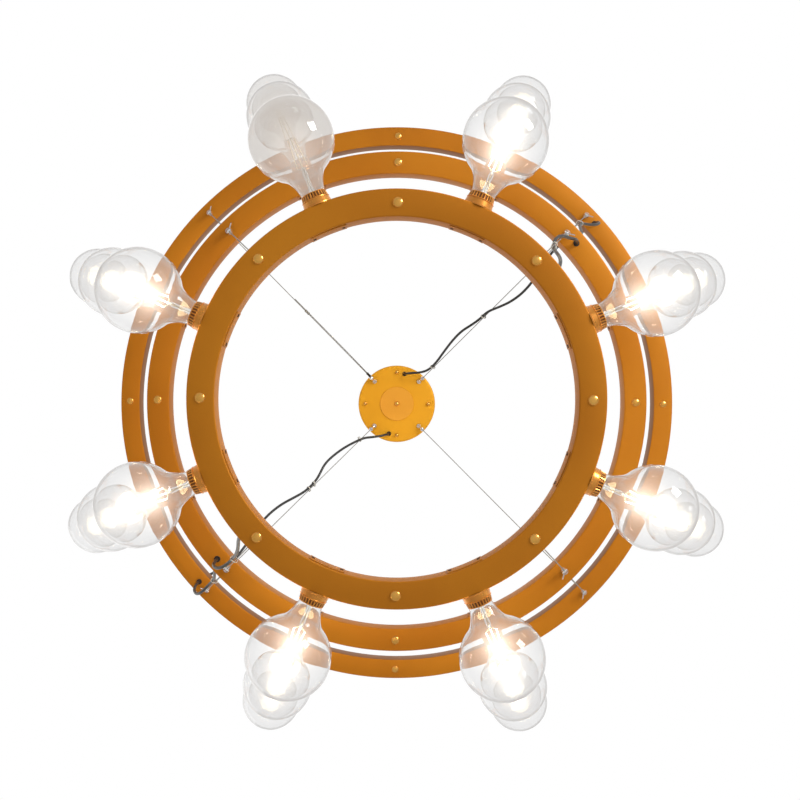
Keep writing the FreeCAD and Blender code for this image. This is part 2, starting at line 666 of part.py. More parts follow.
def glass_profile(body, inset):
    # half outline of the glass: straight neck, flare, and the globe as one arc that ends on the axis
    sketch = new_sketch(body, "XZ_Plane")
    radius = f"(Sizes.globeRadius - {inset})"
    joint = "(180 - Sizes.globeNeckAngle)"
    corners = [
        ("Sizes.globeCentre + " + radius, "0"),
        ("0", "0"),
        ("0", f"Sizes.bulbNeckRadius - {inset}"),
        ("Sizes.bulbShoulderLength", f"Sizes.bulbShoulderRadius - {inset}"),
        (f"Sizes.globeCentre + {radius} * cos({joint})", f"{radius} * sin({joint})"),
    ]
    spots = [FreeCAD.Vector(value(x), value(y), 0) for x, y in corners]
    for first, second in zip(spots, spots[1:]):
        sketch.addGeometry(Part.LineSegment(first, second))
    centre = FreeCAD.Vector(value("Sizes.globeCentre"), 0, 0)
    circle = Part.Circle(centre, FreeCAD.Vector(0, 0, 1), value(radius))
    globe = sketch.addGeometry(Part.ArcOfCircle(circle, 0, math.radians(value(joint))))
    for index in range(len(spots) - 2):
        sketch.addConstraint(Sketcher.Constraint("Coincident", index, 2, index + 1, 1))
    sketch.addConstraint(Sketcher.Constraint("Coincident", globe, 1, 0, 1))
    sketch.addConstraint(Sketcher.Constraint("Coincident", globe, 2, globe - 1, 2))
    place_point(sketch, globe, 3, ("Sizes.globeCentre", "0"))
    index = sketch.addConstraint(Sketcher.Constraint("Radius", globe, value(radius)))
    sketch.setExpression(f"Constraints[{index}]", radius)
    for index in (1, 2, 3):
        place_point(sketch, index, 1, corners[index])
    for item, point, kind, spot in ((0, 1, "DistanceY", corners[0][1]), (globe, 2, "DistanceX", corners[4][0])):
        index = sketch.addConstraint(Sketcher.Constraint(kind, -1, 1, item, point, value(spot)))
        sketch.setExpression(f"Constraints[{index}]", spot)
    return sketch


def bulb_glass():
    # thin glass, open at the neck
    body = new_body("BulbGlass")
    axis = (origin_feature(body, "X_Axis"), [""])
    turn(body, glass_profile(body, "0"), axis)
    turn(body, glass_profile(body, "Sizes.glassWall"), axis, kind="PartDesign::Groove")
    return body


def bulb_base():
    # medium screw base that closes the neck
    body = new_body("BulbBase")
    tip = "-Sizes.bulbBaseLength - Sizes.bulbTipLength"
    turned_piece(body, [
        ("0", "0"),
        ("0", "Sizes.bulbBaseRadius"),
        ("-Sizes.bulbBaseLength", "Sizes.bulbBaseRadius"),
        (tip, "Sizes.bulbTipRadius"),
        (tip, "Sizes.bulbContactRadius"),
        (f"{tip} - Sizes.bulbContactLength", "Sizes.bulbContactRadius"),
        (f"{tip} - Sizes.bulbContactLength", "0"),
    ], role="X_Axis")
    return body


def bulb_stem():
    # tapered glass stem on the screw base
    body = new_body("BulbStem")
    turned_piece(body, [
        ("0", "0"),
        ("0", "Sizes.stemRadius"),
        ("Sizes.stemLength", "Sizes.stemRadius / 2"),
        ("Sizes.stemLength", "0"),
    ], role="X_Axis")
    return body


def bulb_filament():
    # four filament sticks between two crosses, on the end of the stem
    body = new_body("BulbFilament")
    thin = "Sizes.filamentWidth / 2"
    for end in ("0", "Sizes.filamentLength - Sizes.spiderThickness"):
        for reach in (("Sizes.filamentSpread", thin), (thin, "Sizes.filamentSpread")):
            arm = new_sketch(body, "YZ_Plane", f"Sizes.stemLength + {end}")
            box_outline(arm, "0", "0", *reach)
            pad(body, arm, "Sizes.spiderThickness")
    for y, z in (("1", "0"), ("-1", "0"), ("0", "1"), ("0", "-1")):
        stick = new_sketch(body, "YZ_Plane", "Sizes.stemLength")
        middle = f"(Sizes.filamentSpread - {thin})"
        box_outline(stick, f"{y} * {middle}", f"{z} * {middle}", thin, thin)
        pad(body, stick, "Sizes.filamentLength")
    return body


def box_outline(sketch, x, y, half_width, half_height):
    draw_outline(sketch, [
        (f"{x} - {half_width}", f"{y} - {half_height}"),
        (f"{x} + {half_width}", f"{y} - {half_height}"),
        (f"{x} + {half_width}", f"{y} + {half_height}"),
        (f"{x} - {half_width}", f"{y} + {half_height}"),
    ])


def bulbs():
    # one bulb in each socket, pointing straight out from its ring
    pieces = [bulb_glass(), bulb_base(), bulb_stem(), bulb_filament()]
    for name in TIERS:
        for number in range(int(size("lampCount"))):
            bulb = doc.addObject("Part::Compound", f"{name.capitalize()}Bulb{number + 1}")
            bulb.Links = pieces
            angle = f"(({number} + 0.5) * 360 / Sizes.lampCount)"
            seat = f"({RADIUS[name]} + {BULB_SEAT})"
            drop_to(bulb, RING_MIDDLE[name], angle)
            bulb.setExpression(".Placement.Base.x", f"{seat} * cos({angle})")
            bulb.setExpression(".Placement.Base.y", f"{seat} * sin({angle})")
            publish(bulb, f"{name}_bulb_{number + 1}")


# ---- wires and their fittings ----------------------------------------------------------------------

UP = FreeCAD.Vector(0, 0, 1)


def ring_top(tier):
    return -size("firstDrop") - tier * size("tierSpacing")


def ring_middle_radius(tier):
    return size(TIERS[tier] + "Radius") - size("ringSection") / 2


def around(radius, angle, height):
    return FreeCAD.Vector(radius * math.cos(angle), radius * math.sin(angle), height)


def wire_angles():
    count = int(size("wireCount"))
    return [math.radians(180 / count + 360 * step / count) for step in range(count)]


def wire_ends(tier, angle):
    # a wire runs from the gripper above to the terminal on the ring below
    if tier == 0:
        top = around(value(FIXING_CIRCLE), angle, -size("canopyDepth") - size("collarHeight"))
    else:
        above = ring_top(tier - 1) - size("ringSection")
        top = around(ring_middle_radius(tier - 1), angle, above - size("collarHeight"))
    return top, around(ring_middle_radius(tier), angle, ring_top(tier) + size("collarHeight"))


def spigot(face, inward, wall):
    # threaded spigot through a wall, with its nut on the far side
    shank = Part.makeCylinder(
        size("spigotRadius"), wall + size("spigotNutHeight") + size("spigotEnd"), face, inward
    )
    corner = size("spigotNutWidth") / 2 / math.cos(math.radians(30))
    hexagon = [
        face + inward * wall + around(corner, math.radians(60 * step), 0) for step in range(6)
    ]
    nut = Part.Face(Part.makePolygon([*hexagon, hexagon[0]])).extrude(inward * size("spigotNutHeight"))
    return shank.fuse(nut)


def barrel(kind, pivot, direction):
    # tilted barrel with a tapered inner end that sits in its collar
    radius = size(kind + "Radius")
    taper = size(kind + "RootLength")
    inset = size(kind + "RootInset")
    start = pivot - direction * inset
    root = Part.makeCone(size(kind + "RootRadius"), radius, taper, start, direction)
    length = size(kind + "Length") + inset - taper
    return root.fuse(Part.makeCylinder(radius, length, start + direction * taper, direction))


def gripper(pivot, wall, direction):
    # screwed collar under a face, and a tilted barrel that the wire leaves through its nose
    face = pivot + UP * size("collarHeight")
    collar = Part.makeCylinder(size("collarRadius"), size("collarHeight"), pivot)
    end = pivot + direction * size("gripperLength")
    radii = (size("gripperRadius"), size("gripperNoseRadius"))
    nose = Part.makeCone(*radii, size("gripperNoseLength"), end, direction)
    body = collar.multiFuse([barrel("gripper", pivot, direction), nose, spigot(face, UP, wall)])
    return body.cut(wire_bore(pivot, direction, size("gripperLength") + size("gripperNoseLength")))


def terminal(pivot, wall, direction):
    # screwed collar on a ring's upper face, and a tilted barrel that holds the wire's end
    face = pivot - UP * size("collarHeight")
    collar = Part.makeCylinder(size("collarRadius"), size("collarHeight"), face)
    body = collar.multiFuse([barrel("terminal", pivot, direction), spigot(face, -UP, wall)])
    return body.cut(wire_bore(pivot, direction, size("terminalLength")))


def wire_bore(pivot, direction, length):
    radius = size("wireRadius") + size("wireBoreClearance")
    start = pivot + direction * size("boreSocketDepth")
    return Part.makeCylinder(radius, length, start, direction)


def add_shape(name, node, solids):
    item = doc.addObject("Part::Feature", name)
    item.Shape = solids[0] if len(solids) == 1 else Part.makeCompound(solids)
    return publish(item, node)


def canopy_grippers():
    solids = []
    for angle in wire_angles():
        top, low = wire_ends(0, angle)
        solids.append(gripper(top, size("canopyWall"), (low - top).normalize()))
    add_shape("CanopyGrippers", "canopy_grippers", solids)


def ring_wire_fittings():
    # terminals on the upper faces of all rings, grippers under the upper two
    solids = []
    for tier in range(len(TIERS)):
        for angle in wire_angles():
            top, low = wire_ends(tier, angle)
            direction = (low - top).normalize()
            solids.append(terminal(low, size("ringWall"), -direction))
            if tier > 0:
                solids.append(gripper(top, size("ringWall"), direction))
    add_shape("RingWireFittings", "ring_wire_fittings", solids)


def hanging_wires(tier):
    # straight wires between the blind ends of their bores; one canopy wire has a crimp sleeve for its tail
    solids = []
    for angle in wire_angles():
        top, low = wire_ends(tier, angle)
        direction = (low - top).normalize()
        gap = direction * (size("boreSocketDepth") + size("wireBoreClearance"))
        length = (low - top).Length - 2 * gap.Length
        solids.append(Part.makeCylinder(size("wireRadius"), length, top + gap, direction))
        if tier == 0 and math.cos(angle) < 0 and math.sin(angle) < 0:
            place = top + direction * size("sleevePlace")
            sleeve = Part.makeCylinder(size("sleeveRadius"), size("sleeveLength"), place, direction)
            solids[-1] = solids[-1].fuse(sleeve)
    node = f"{TIERS[tier]}_wires"
    add_shape(TIERS[tier].capitalize() + "Wires", node, solids)


# ---- cables ----------------------------------------------------------------------------------------
# Routes are lists of points chosen by hand, given beside the wire that each cable follows: distance from
# the chandelier's axis along the wire's bearing, distance across it, and height. The routes marked b are
# on the other side of the axis.

ROUTES = {
    "upper_cable_a": [
        (69.3, -41.0, -21), (69.3, -41.0, -45), (82, -30, -62), (101, -13, -69), (120, -4, -70.5),
        (146, -4, -92), (174, -9, -121), (206, -14, -153), (238, -15, -182), (266, -8, -198),
        (288, -4, -209.5), (312, -4, -229.5), (336, 8, -254), (362, 19, -279), (394, 24, -306),
        (430, 20, -336), (466, 9, -363), (502, 3, -388), (534, 9, -406), (562, 19, -419),
        (579.5, 25, -440), (579.5, 25, -463),
    ],
    "upper_cable_b": [
        (69.3, -41.0, -21), (69.3, -41.0, -45), (81, -29, -61), (100, -9, -68), (120, 4, -70.5),
        (146, 4, -92), (172, 12, -121), (204, 19, -152), (232, 19, -174), (256, 10, -187),
        (276, 4, -199.5), (308, 4, -226), (334, 12, -250), (364, 22, -279), (398, 26, -308),
        (436, 22, -341), (474, 11, -370), (510, 6, -393), (540, 11, -409), (564, 19, -421),
        (579.5, 25, -441), (579.5, 25, -463),
    ],
    "middle_cable_a": [
        (579.5, 25, -478), (579.5, 25, -502), (580, 29, -524), (573, 32, -545), (560, 28, -566),
        (546, 18, -585), (535, 9, -602), (528, 4.8, -622), (518.5, 4.8, -645), (506, 9, -676),
        (494, 16, -714), (479, 22, -752), (461, 27, -788), (441, 28, -817), (429.3, 25, -841),
        (429.3, 25, -863),
    ],
    "middle_cable_b": [
        (579.5, 25, -478), (579.5, 25, -502), (584, 24, -526), (587, 18, -548), (583, 9, -569),
        (571, 5, -587), (555, 4, -602), (537, 4.6, -616), (523, 4.8, -635), (513.5, 4.8, -658),
        (501, 8, -690), (487, 14, -727), (471, 20, -762), (451, 25, -796), (435, 26, -823),
        (429.3, 25, -843), (429.3, 25, -863),
    ],
    "lower_cable_a": [
        (429.3, 25, -878), (429.3, 25, -903), (426, 20, -926), (414, 9, -947), (406, 1, -967),
        (395, -5, -987), (381, -6, -1007), (368, 0, -1027), (359.5, 3.5, -1049), (352, 12, -1081),
        (343, 21, -1117), (330, 28, -1153), (312, 32, -1187), (291, 30, -1216), (278.9, 25, -1240),
        (278.9, 25, -1263),
    ],
    "lower_cable_b": [
        (429.3, 25, -878), (429.3, 25, -903), (434, 23, -924), (431, 15, -945), (419, 8, -963),
        (403, 5, -978), (389, 4.8, -993), (379.5, 4.8, -1015), (367, 6, -1044), (354, 9, -1076),
        (342, 13, -1110), (329, 18, -1147), (312, 22, -1182), (293, 25, -1212), (278.9, 25, -1240),
        (278.9, 25, -1263),
    ],
}

# where a cable is tied to its wire: distance from the axis
TIES = {
    "upper": [("upper_cable_a", 133), ("upper_cable_a", 300), ("upper_cable_b", 133),
              ("upper_cable_b", 284), ("upper_cable_b", 300)],
    "lower": [("middle_cable_a", 523), ("middle_cable_b", 518), ("lower_cable_a", 368.5),
              ("lower_cable_b", 384)],
}


def bearing(name):
    # unit vectors along and across the bearing of the wire that a cable follows
    turn_back = -1 if name.endswith("_b") else 1
    angle = -math.pi / int(size("wireCount"))
    along = FreeCAD.Vector(math.cos(angle), math.sin(angle), 0) * turn_back
    return along, FreeCAD.Vector(-math.sin(angle), math.cos(angle), 0) * turn_back


def route_points(name):
    along, across = bearing(name)
    return [along * reach + across * side + UP * height for reach, side, height in ROUTES[name]]


def route_path(points):
    # straight runs joined by tangent arcs, each as large as its two runs allow
    edges = []
    start = points[0]
    radii = []
    for before, corner, after in zip(points, points[1:], points[2:]):
        back = (before - corner).normalize()
        ahead = (after - corner).normalize()
        turning = math.pi - back.getAngle(ahead)
        reach = 0.45 * min((before - corner).Length, (after - corner).Length)
        radius = reach / math.tan(turning / 2)
        radii.append(radius)
        inward = (back + ahead).normalize()
        middle = corner + inward * (radius / math.cos(turning / 2) - radius)
        enter = corner + back * reach
        leave = corner + ahead * reach
        edges.append(Part.LineSegment(start, enter).toShape())
        edges.append(Part.Arc(enter, middle, leave).toShape())
        start = leave
    edges.append(Part.LineSegment(start, points[-1]).toShape())
    return Part.Wire(edges), radii


def cable(name):
    path, radii = route_path(route_points(name))
    start = route_points(name)[0]
    heading = (route_points(name)[1] - start).normalize()
    section = Part.Wire([Part.makeCircle(size("cableRadius"), start, heading)])
    solid = path.makePipeShell([section], True, False)
    expected = math.pi * size("cableRadius") ** 2 * path.Length
    print(f"{name}: {path.Length:.0f} mm long, tightest bend {min(radii):.1f} mm, "
          f"volume {solid.Volume / expected:.4f} of section times length")
    add_shape(name.title().replace("_", ""), name, list(solid.Solids))


def cable_grommets():
    # flanged rubber grommets in the rings, where a cable goes in or comes out
    solids = []
    clear = Part.makeCylinder
    for tier in range(len(TIERS)):
        faces = [(ring_top(tier), UP)]
        if tier < len(TIERS) - 1:
            faces.append((ring_top(tier) - size("ringSection"), -UP))
        for name in ("cable_a", "cable_b"):
            along, across = bearing(name)
            turn_angle = size("cableHoleOffset") / ring_middle_radius(tier)
            spot = (along * math.cos(turn_angle) + across * math.sin(turn_angle)) * ring_middle_radius(tier)
            for height, outward in faces:
                face = spot + UP * height
                neck = size("bushingNeckLength")
                flange = clear(size("bushingFlangeRadius"), size("bushingFlangeHeight"), face, outward)
                stem = clear(size("bushingNeckRadius"), neck, face, -outward)
                bore = clear(
                    size("cableRadius") + size("cableBoreClearance"),
                    neck + size("bushingFlangeHeight"), face - outward * neck, outward,
                )
                solids.append(flange.fuse(stem).cut(bore))
    add_shape("CableGrommets", "cable_grommets", solids)


def tie_band(name, reach):
    # band round a cable and its wire: a slot-shaped loop, square to the wire
    tier = TIERS.index(name.split("_")[0])
    along, across = bearing(name)
    angle = math.atan2(along.y, along.x)
    top, low = wire_ends(tier, angle)
    direction = (low - top).normalize()
    share = (reach - math.hypot(top.x, top.y)) / (math.hypot(low.x, low.y) - math.hypot(top.x, top.y))
    on_wire = top + (low - top) * share
    path = route_path(route_points(name))[0]
    plane = Part.Plane(on_wire, direction)
    on_cable = min(
        (crossing for edge in path.Edges for crossing in edge_crossings(edge, plane)),
        key=lambda spot: (spot - on_wire).Length,
    )
    inner = size("cableRadius") + size("tieClearance")
    outer = inner + size("tieThickness")
    start = -direction * (size("tieWidth") / 2)
    loop = slot_prism(on_wire + start, on_cable + start, direction, outer)
    return loop.cut(slot_prism(on_wire + start, on_cable + start, direction, inner))


def edge_crossings(edge, plane):
    crossings = edge.Curve.intersect(plane)[0] if hasattr(edge.Curve, "intersect") else []
    spots = [FreeCAD.Vector(point.X, point.Y, point.Z) for point in crossings]
    return [spot for spot in spots if edge.distToShape(Part.Vertex(spot))[0] < size("wireRadius")]


def slot_prism(first, second, direction, radius):
    width = size("tieWidth")
    side = (second - first).normalize().cross(direction) * radius
    corners = [first + side, second + side, second - side, first - side]
    middle = Part.Face(Part.makePolygon([*corners, corners[0]])).extrude(direction * width)
    ends = [Part.makeCylinder(radius, width, spot, direction) for spot in (first, second)]
    return middle.multiFuse(ends).removeSplitter()


def cable_ties(group):
    solids = [tie_band(name, reach) for name, reach in TIES[group]]
    add_shape(group.capitalize() + "CableTies", f"{group}_cable_ties", solids)


# ---- the whole chandelier --------------------------------------------------------------------------

ceiling_plate()
canopy_studs()
canopy_dish()
canopy_cover()
canopy_centre_screw()
canopy_cap_nuts()
terminal_block()
canopy_bushings()
canopy_grippers()
for tier_name in TIERS:
    ring(tier_name)
    socket_cups(tier_name)
    lampholders(tier_name)
    access_covers(tier_name)
face_rivets()
ring_wiring()
ring_wire_fittings()
for tier_number in range(len(TIERS)):
    hanging_wires(tier_number)
for cable_name in ROUTES:
    cable(cable_name)
cable_grommets()
for tie_group in TIES:
    cable_ties(tie_group)
bulbs()
doc.recompute()

for item in doc.Objects:
    if "Invalid" in item.State or "Error" in item.State:
        raise RuntimeError(f"{item.Name} failed: {item.State}")

os.makedirs("parts", exist_ok=True)
for item in subParts:
    if item.Shape.isNull() or not item.Shape.isValid():
        raise RuntimeError(f"{item.Label} has no valid shape")
    item.Shape.exportStep(f"parts/{item.Label}.step")
print(f"{len(subParts)} sub-parts written")
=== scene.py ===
import json
import math

import bmesh
import bpy
from mathutils import Matrix, Vector


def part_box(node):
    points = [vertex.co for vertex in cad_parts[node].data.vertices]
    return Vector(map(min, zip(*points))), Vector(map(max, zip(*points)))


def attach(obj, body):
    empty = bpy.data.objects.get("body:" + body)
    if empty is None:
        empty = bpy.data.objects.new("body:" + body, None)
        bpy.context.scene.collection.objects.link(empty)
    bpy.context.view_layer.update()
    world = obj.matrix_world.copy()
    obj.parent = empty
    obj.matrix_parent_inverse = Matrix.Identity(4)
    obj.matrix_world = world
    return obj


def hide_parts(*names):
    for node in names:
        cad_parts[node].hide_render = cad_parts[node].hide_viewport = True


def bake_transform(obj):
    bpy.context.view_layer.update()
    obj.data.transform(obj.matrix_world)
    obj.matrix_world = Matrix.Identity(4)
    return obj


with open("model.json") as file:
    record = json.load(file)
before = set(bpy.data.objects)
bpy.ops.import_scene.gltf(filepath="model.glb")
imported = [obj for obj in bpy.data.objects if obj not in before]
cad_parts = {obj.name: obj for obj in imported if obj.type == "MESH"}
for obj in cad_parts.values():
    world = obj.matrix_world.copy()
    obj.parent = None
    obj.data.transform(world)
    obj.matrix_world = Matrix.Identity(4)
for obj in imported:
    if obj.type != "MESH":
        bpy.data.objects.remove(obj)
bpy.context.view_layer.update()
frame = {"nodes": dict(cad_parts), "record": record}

# Wagon wheel chandelier: three box-section rings under a ceiling canopy, seen from straight below.
# Metres, +Z up, the origin on the ceiling in the middle of the canopy.

mm = 0.001
zAxis = Vector((0, 0, 1))
fullTurn = 2 * math.pi


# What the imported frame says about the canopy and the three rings

def readTier(name):
    low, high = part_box(f"{name}_ring")
    return {"name": name, "radius": high.x, "top": high.z, "bottom": low.z, "middle": (low.z + high.z) / 2}


tiers = [readTier(name) for name in ("upper", "middle", "lower")]
section = tiers[0]["top"] - tiers[0]["bottom"]
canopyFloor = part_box("canopy_dish")[0].z
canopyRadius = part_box("canopy_dish")[1].x
lampAngles = [math.radians((number + 0.5) * 45) for number in range(8)]
wireAngles = [math.radians(45 + 90 * number) for number in range(4)]


# Camera: straight below, a little off the middle, as the photograph was taken

cameraSettings = {
    "place": (0, 0.015, -2.799), "roll": -0.35,
    "lens": 47.75, "sensor": 36, "shift": (0.0041, 0.0119), "clipEnd": 50,
}


def makeCamera():
    look = cameraSettings
    data = bpy.data.cameras.new("camera")
    data.sensor_width = look["sensor"]
    data.lens = look["lens"]
    data.shift_x, data.shift_y = look["shift"]
    data.clip_end = look["clipEnd"]
    camera = bpy.data.objects.new("camera", data)
    bpy.context.scene.collection.objects.link(camera)
    camera.location = look["place"]
    camera.rotation_euler = (math.pi, 0, math.radians(look["roll"]))
    bpy.context.scene.camera = camera


makeCamera()
print("stage: camera")


# Mesh helpers

def sharpen(work, degrees):
    # keeps hard edges hard on a smooth-shaded piece
    work.normal_update()
    limit = math.radians(degrees)
    for edge in work.edges:
        edge.smooth = len(edge.link_faces) == 2 and edge.calc_face_angle(0) < limit


def addPiece(name, work, finish, sharp=None, node=None, body=None, recalculate=True):
    if recalculate:
        bmesh.ops.recalc_face_normals(work, faces=work.faces[:])
    for face in work.faces:
        face.smooth = True
    if sharp:
        sharpen(work, sharp)
    mesh = bpy.data.meshes.new(name)
    work.to_mesh(mesh)
    work.free()
    mesh.materials.append(materials[finish])
    piece = bpy.data.objects.new(name, mesh)
    bpy.context.scene.collection.objects.link(piece)
    if node:
        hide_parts(node)
    if body:
        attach(piece, body)
    return piece


def addProfile(work, points, closed=False, rounding=0, segments=3):
    # outline in the XZ plane: X is the distance from the axis, Z the height
    verts = [work.verts.new((point[0], 0, point[1])) for point in points]
    edges = [work.edges.new(pair) for pair in zip(verts, verts[1:])]
    if closed:
        edges.append(work.edges.new((verts[-1], verts[0])))
    if rounding:
        bmesh.ops.bevel(work, geom=verts if closed else verts[1:-1], offset=rounding, segments=segments,
                        affect="VERTICES", profile=0.5, material=-1, offset_type="OFFSET")
    return work.verts[:], work.edges[:]


def turned(points, steps, **shape):
    # a closed or open outline spun a full turn round Z
    work = bmesh.new()
    verts, edges = addProfile(work, points, **shape)
    bmesh.ops.spin(work, geom=verts + edges, cent=(0, 0, 0), axis=zAxis, angle=fullTurn, steps=steps,
                   use_merge=True)
    bmesh.ops.remove_doubles(work, verts=work.verts[:], dist=1e-6)
    bmesh.ops.recalc_face_normals(work, faces=work.faces[:])
    return work


def domeOutline(radius, height, base, steps, side=-1):
    # quarter round from the rim to the axis, downwards unless the side is 1
    angles = [math.pi / 2 * step / steps for step in range(steps + 1)]
    return [(radius * math.cos(angle), base + side * height * math.sin(angle)) for angle in angles]


def appendMesh(work, part, matrices):
    # adds the part once at each place
    mesh = bpy.data.meshes.new("part")
    part.to_mesh(mesh)
    part.free()
    for matrix in matrices:
        first = len(work.verts)
        work.from_mesh(mesh)
        work.verts.ensure_lookup_table()
        bmesh.ops.transform(work, matrix=matrix, verts=work.verts[first:])
    bpy.data.meshes.remove(mesh)


def copies(master, matrices):
    work = bmesh.new()
    appendMesh(work, master, matrices)
    return work


def bevelEdges(work, edges, width):
    bmesh.ops.bevel(work, geom=edges, offset=width, segments=2, affect="EDGES", profile=0.5, material=-1)


def markPaintedShadeAndDarkTone(work, amount, marked=None):
    # marks vertices that the finish shows darker: painted shade on the rings' inner walls, their covers and the
    # cups' flutes, and the own dark tone of one sleeve
    paintedShadeAndDarkTone = work.verts.layers.float.new("paintedShadeAndDarkTone")
    for vert in work.verts:
        if marked is None or marked(vert):
            vert[paintedShadeAndDarkTone] = amount


def around(radius, angle, height):
    return Vector((radius * math.cos(angle), radius * math.sin(angle), height))


def outward(radius, angle, height):
    # puts a shape made round +X so that its +X points out of a ring
    return Matrix.Translation(around(radius, angle, height)) @ Matrix.Rotation(angle, 4, "Z")


def alongAxis(place, direction):
    # puts a shape made round Z so that its +Z points in the direction
    return Matrix.Translation(place) @ direction.to_track_quat("Z", "Y").to_matrix().to_4x4()


def layAlongX(work):
    # turns a shape made round Z so that its +Z points along +X
    bmesh.ops.rotate(work, verts=work.verts[:], cent=(0, 0, 0), matrix=Matrix.Rotation(math.pi / 2, 3, "Y"))
    return work


# Materials

def setInputs(tree, node, inputs):
    # each input takes a plain value or another node's output
    for name, value in inputs.items():
        if isinstance(value, bpy.types.NodeSocket):
            tree.links.new(value, node.inputs[name])
        else:
            node.inputs[name].default_value = value


def addNode(tree, kind, inputs=None, **settings):
    # gives the outputs of the new node
    node = tree.nodes.new("ShaderNode" + kind)
    for name, value in settings.items():
        setattr(node, name, value)
    setInputs(tree, node, inputs or {})
    return node.outputs


def addMath(tree, operation, *values):
    return addNode(tree, "Math", dict(enumerate(values)), operation=operation)["Value"]


def addRange(tree, value, **limits):
    names = {"fromMin": "From Min", "fromMax": "From Max", "toMin": "To Min", "toMax": "To Max"}
    inputs = {names[limit]: amount for limit, amount in limits.items()}
    return addNode(tree, "MapRange", {"Value": value, **inputs})["Result"]


def mixColours(tree, factor, first, second, blend="MIX"):
    return addNode(tree, "Mix", {"Factor": factor, "A": first, "B": second}, data_type="RGBA",
                   blend_type=blend)["Result"]


def addNoise(tree, scale, detail=2):
    place = addNode(tree, "TexCoord")["Object"]
    return addNode(tree, "TexNoise", {"Vector": place, "Scale": scale, "Detail": detail})["Fac"]


def opaque(colour):
    return (*colour, 1)


def newMaterial(name):
    material = bpy.data.materials.new(name)
    material.use_nodes = True
    tree = material.node_tree
    return material, tree, tree.nodes["Principled BSDF"]


def makeFinishGroup():
    # cloudy shade, fine grain and small specks of a painted, plated or moulded surface
    group = bpy.data.node_groups.new("surfaceFinish", "ShaderNodeTree")
    for label, kind, value in (
        ("Colour", "Color", (0.5, 0.5, 0.5, 1)), ("Shade", "Color", (0.4, 0.4, 0.4, 1)),
        ("Cloud size", "Float", 6), ("Grain size", "Float", 600), ("Roughness", "Float", 0.4),
        ("Roughness spread", "Float", 0.1), ("Speck", "Float", 0.2),
    ):
        socket = group.interface.new_socket(name=label, in_out="INPUT", socket_type="NodeSocket" + kind)
        socket.default_value = value
    for label, kind in (("Colour", "Color"), ("Roughness", "Float"), ("Height", "Float")):
        group.interface.new_socket(name=label, in_out="OUTPUT", socket_type="NodeSocket" + kind)
    given = group.nodes.new("NodeGroupInput").outputs
    cloud = addRange(group, addNoise(group, given["Cloud size"], 4), fromMin=0.35, fromMax=0.65)
    grain = addNoise(group, given["Grain size"], 3)
    speck = addMath(group, "MULTIPLY", addRange(group, grain, fromMin=0.5, fromMax=0.75), given["Speck"])
    base = mixColours(group, cloud, given["Colour"], given["Shade"])
    setInputs(group, group.nodes.new("NodeGroupOutput"), {
        "Colour": mixColours(group, speck, base, given["Shade"], "MULTIPLY"),
        "Roughness": addMath(group, "MULTIPLY_ADD", cloud, given["Roughness spread"], given["Roughness"]),
        "Height": grain,
    })
    return group


finishGroup = makeFinishGroup()
finishDefaults = {
    "metallic": 0, "coat": 0, "coatRoughness": 0.1, "specular": 0.5, "transmission": 0,
    "spread": 0.08, "speck": 0.2, "bumpDepth": 0.2 * mm,
}


def makeFinish(name, own):
    look = {**finishDefaults, **own}
    material, tree, shader = newMaterial(name)
    finish = addNode(tree, "Group", {
        "Colour": opaque(look["colour"]), "Shade": opaque(look["shade"]), "Cloud size": look["clouds"],
        "Grain size": look["grain"], "Roughness": look["roughness"], "Roughness spread": look["spread"],
        "Speck": look["speck"],
    }, node_tree=finishGroup)
    colour = finish["Colour"]
    if "paintedShadeAndDarkTone" in look:  # darker where the mesh is marked: painted shade on inner walls, covers and cup flutes, and one sleeve's own dark tone
        deep = addNode(tree, "Attribute", attribute_name="paintedShadeAndDarkTone")["Fac"]
        colour = mixColours(tree, deep, colour, opaque(look["paintedShadeAndDarkTone"]))
    bump = {"Strength": look["bump"], "Distance": look["bumpDepth"], "Height": finish["Height"]}
    setInputs(tree, shader, {
        "Base Color": colour, "Roughness": finish["Roughness"], "Metallic": look["metallic"],
        "Coat Weight": look["coat"], "Coat Roughness": look["coatRoughness"],
        "Specular IOR Level": look["specular"], "Transmission Weight": look["transmission"],
        "Normal": addNode(tree, "Bump", bump)["Normal"],
    })
    return material


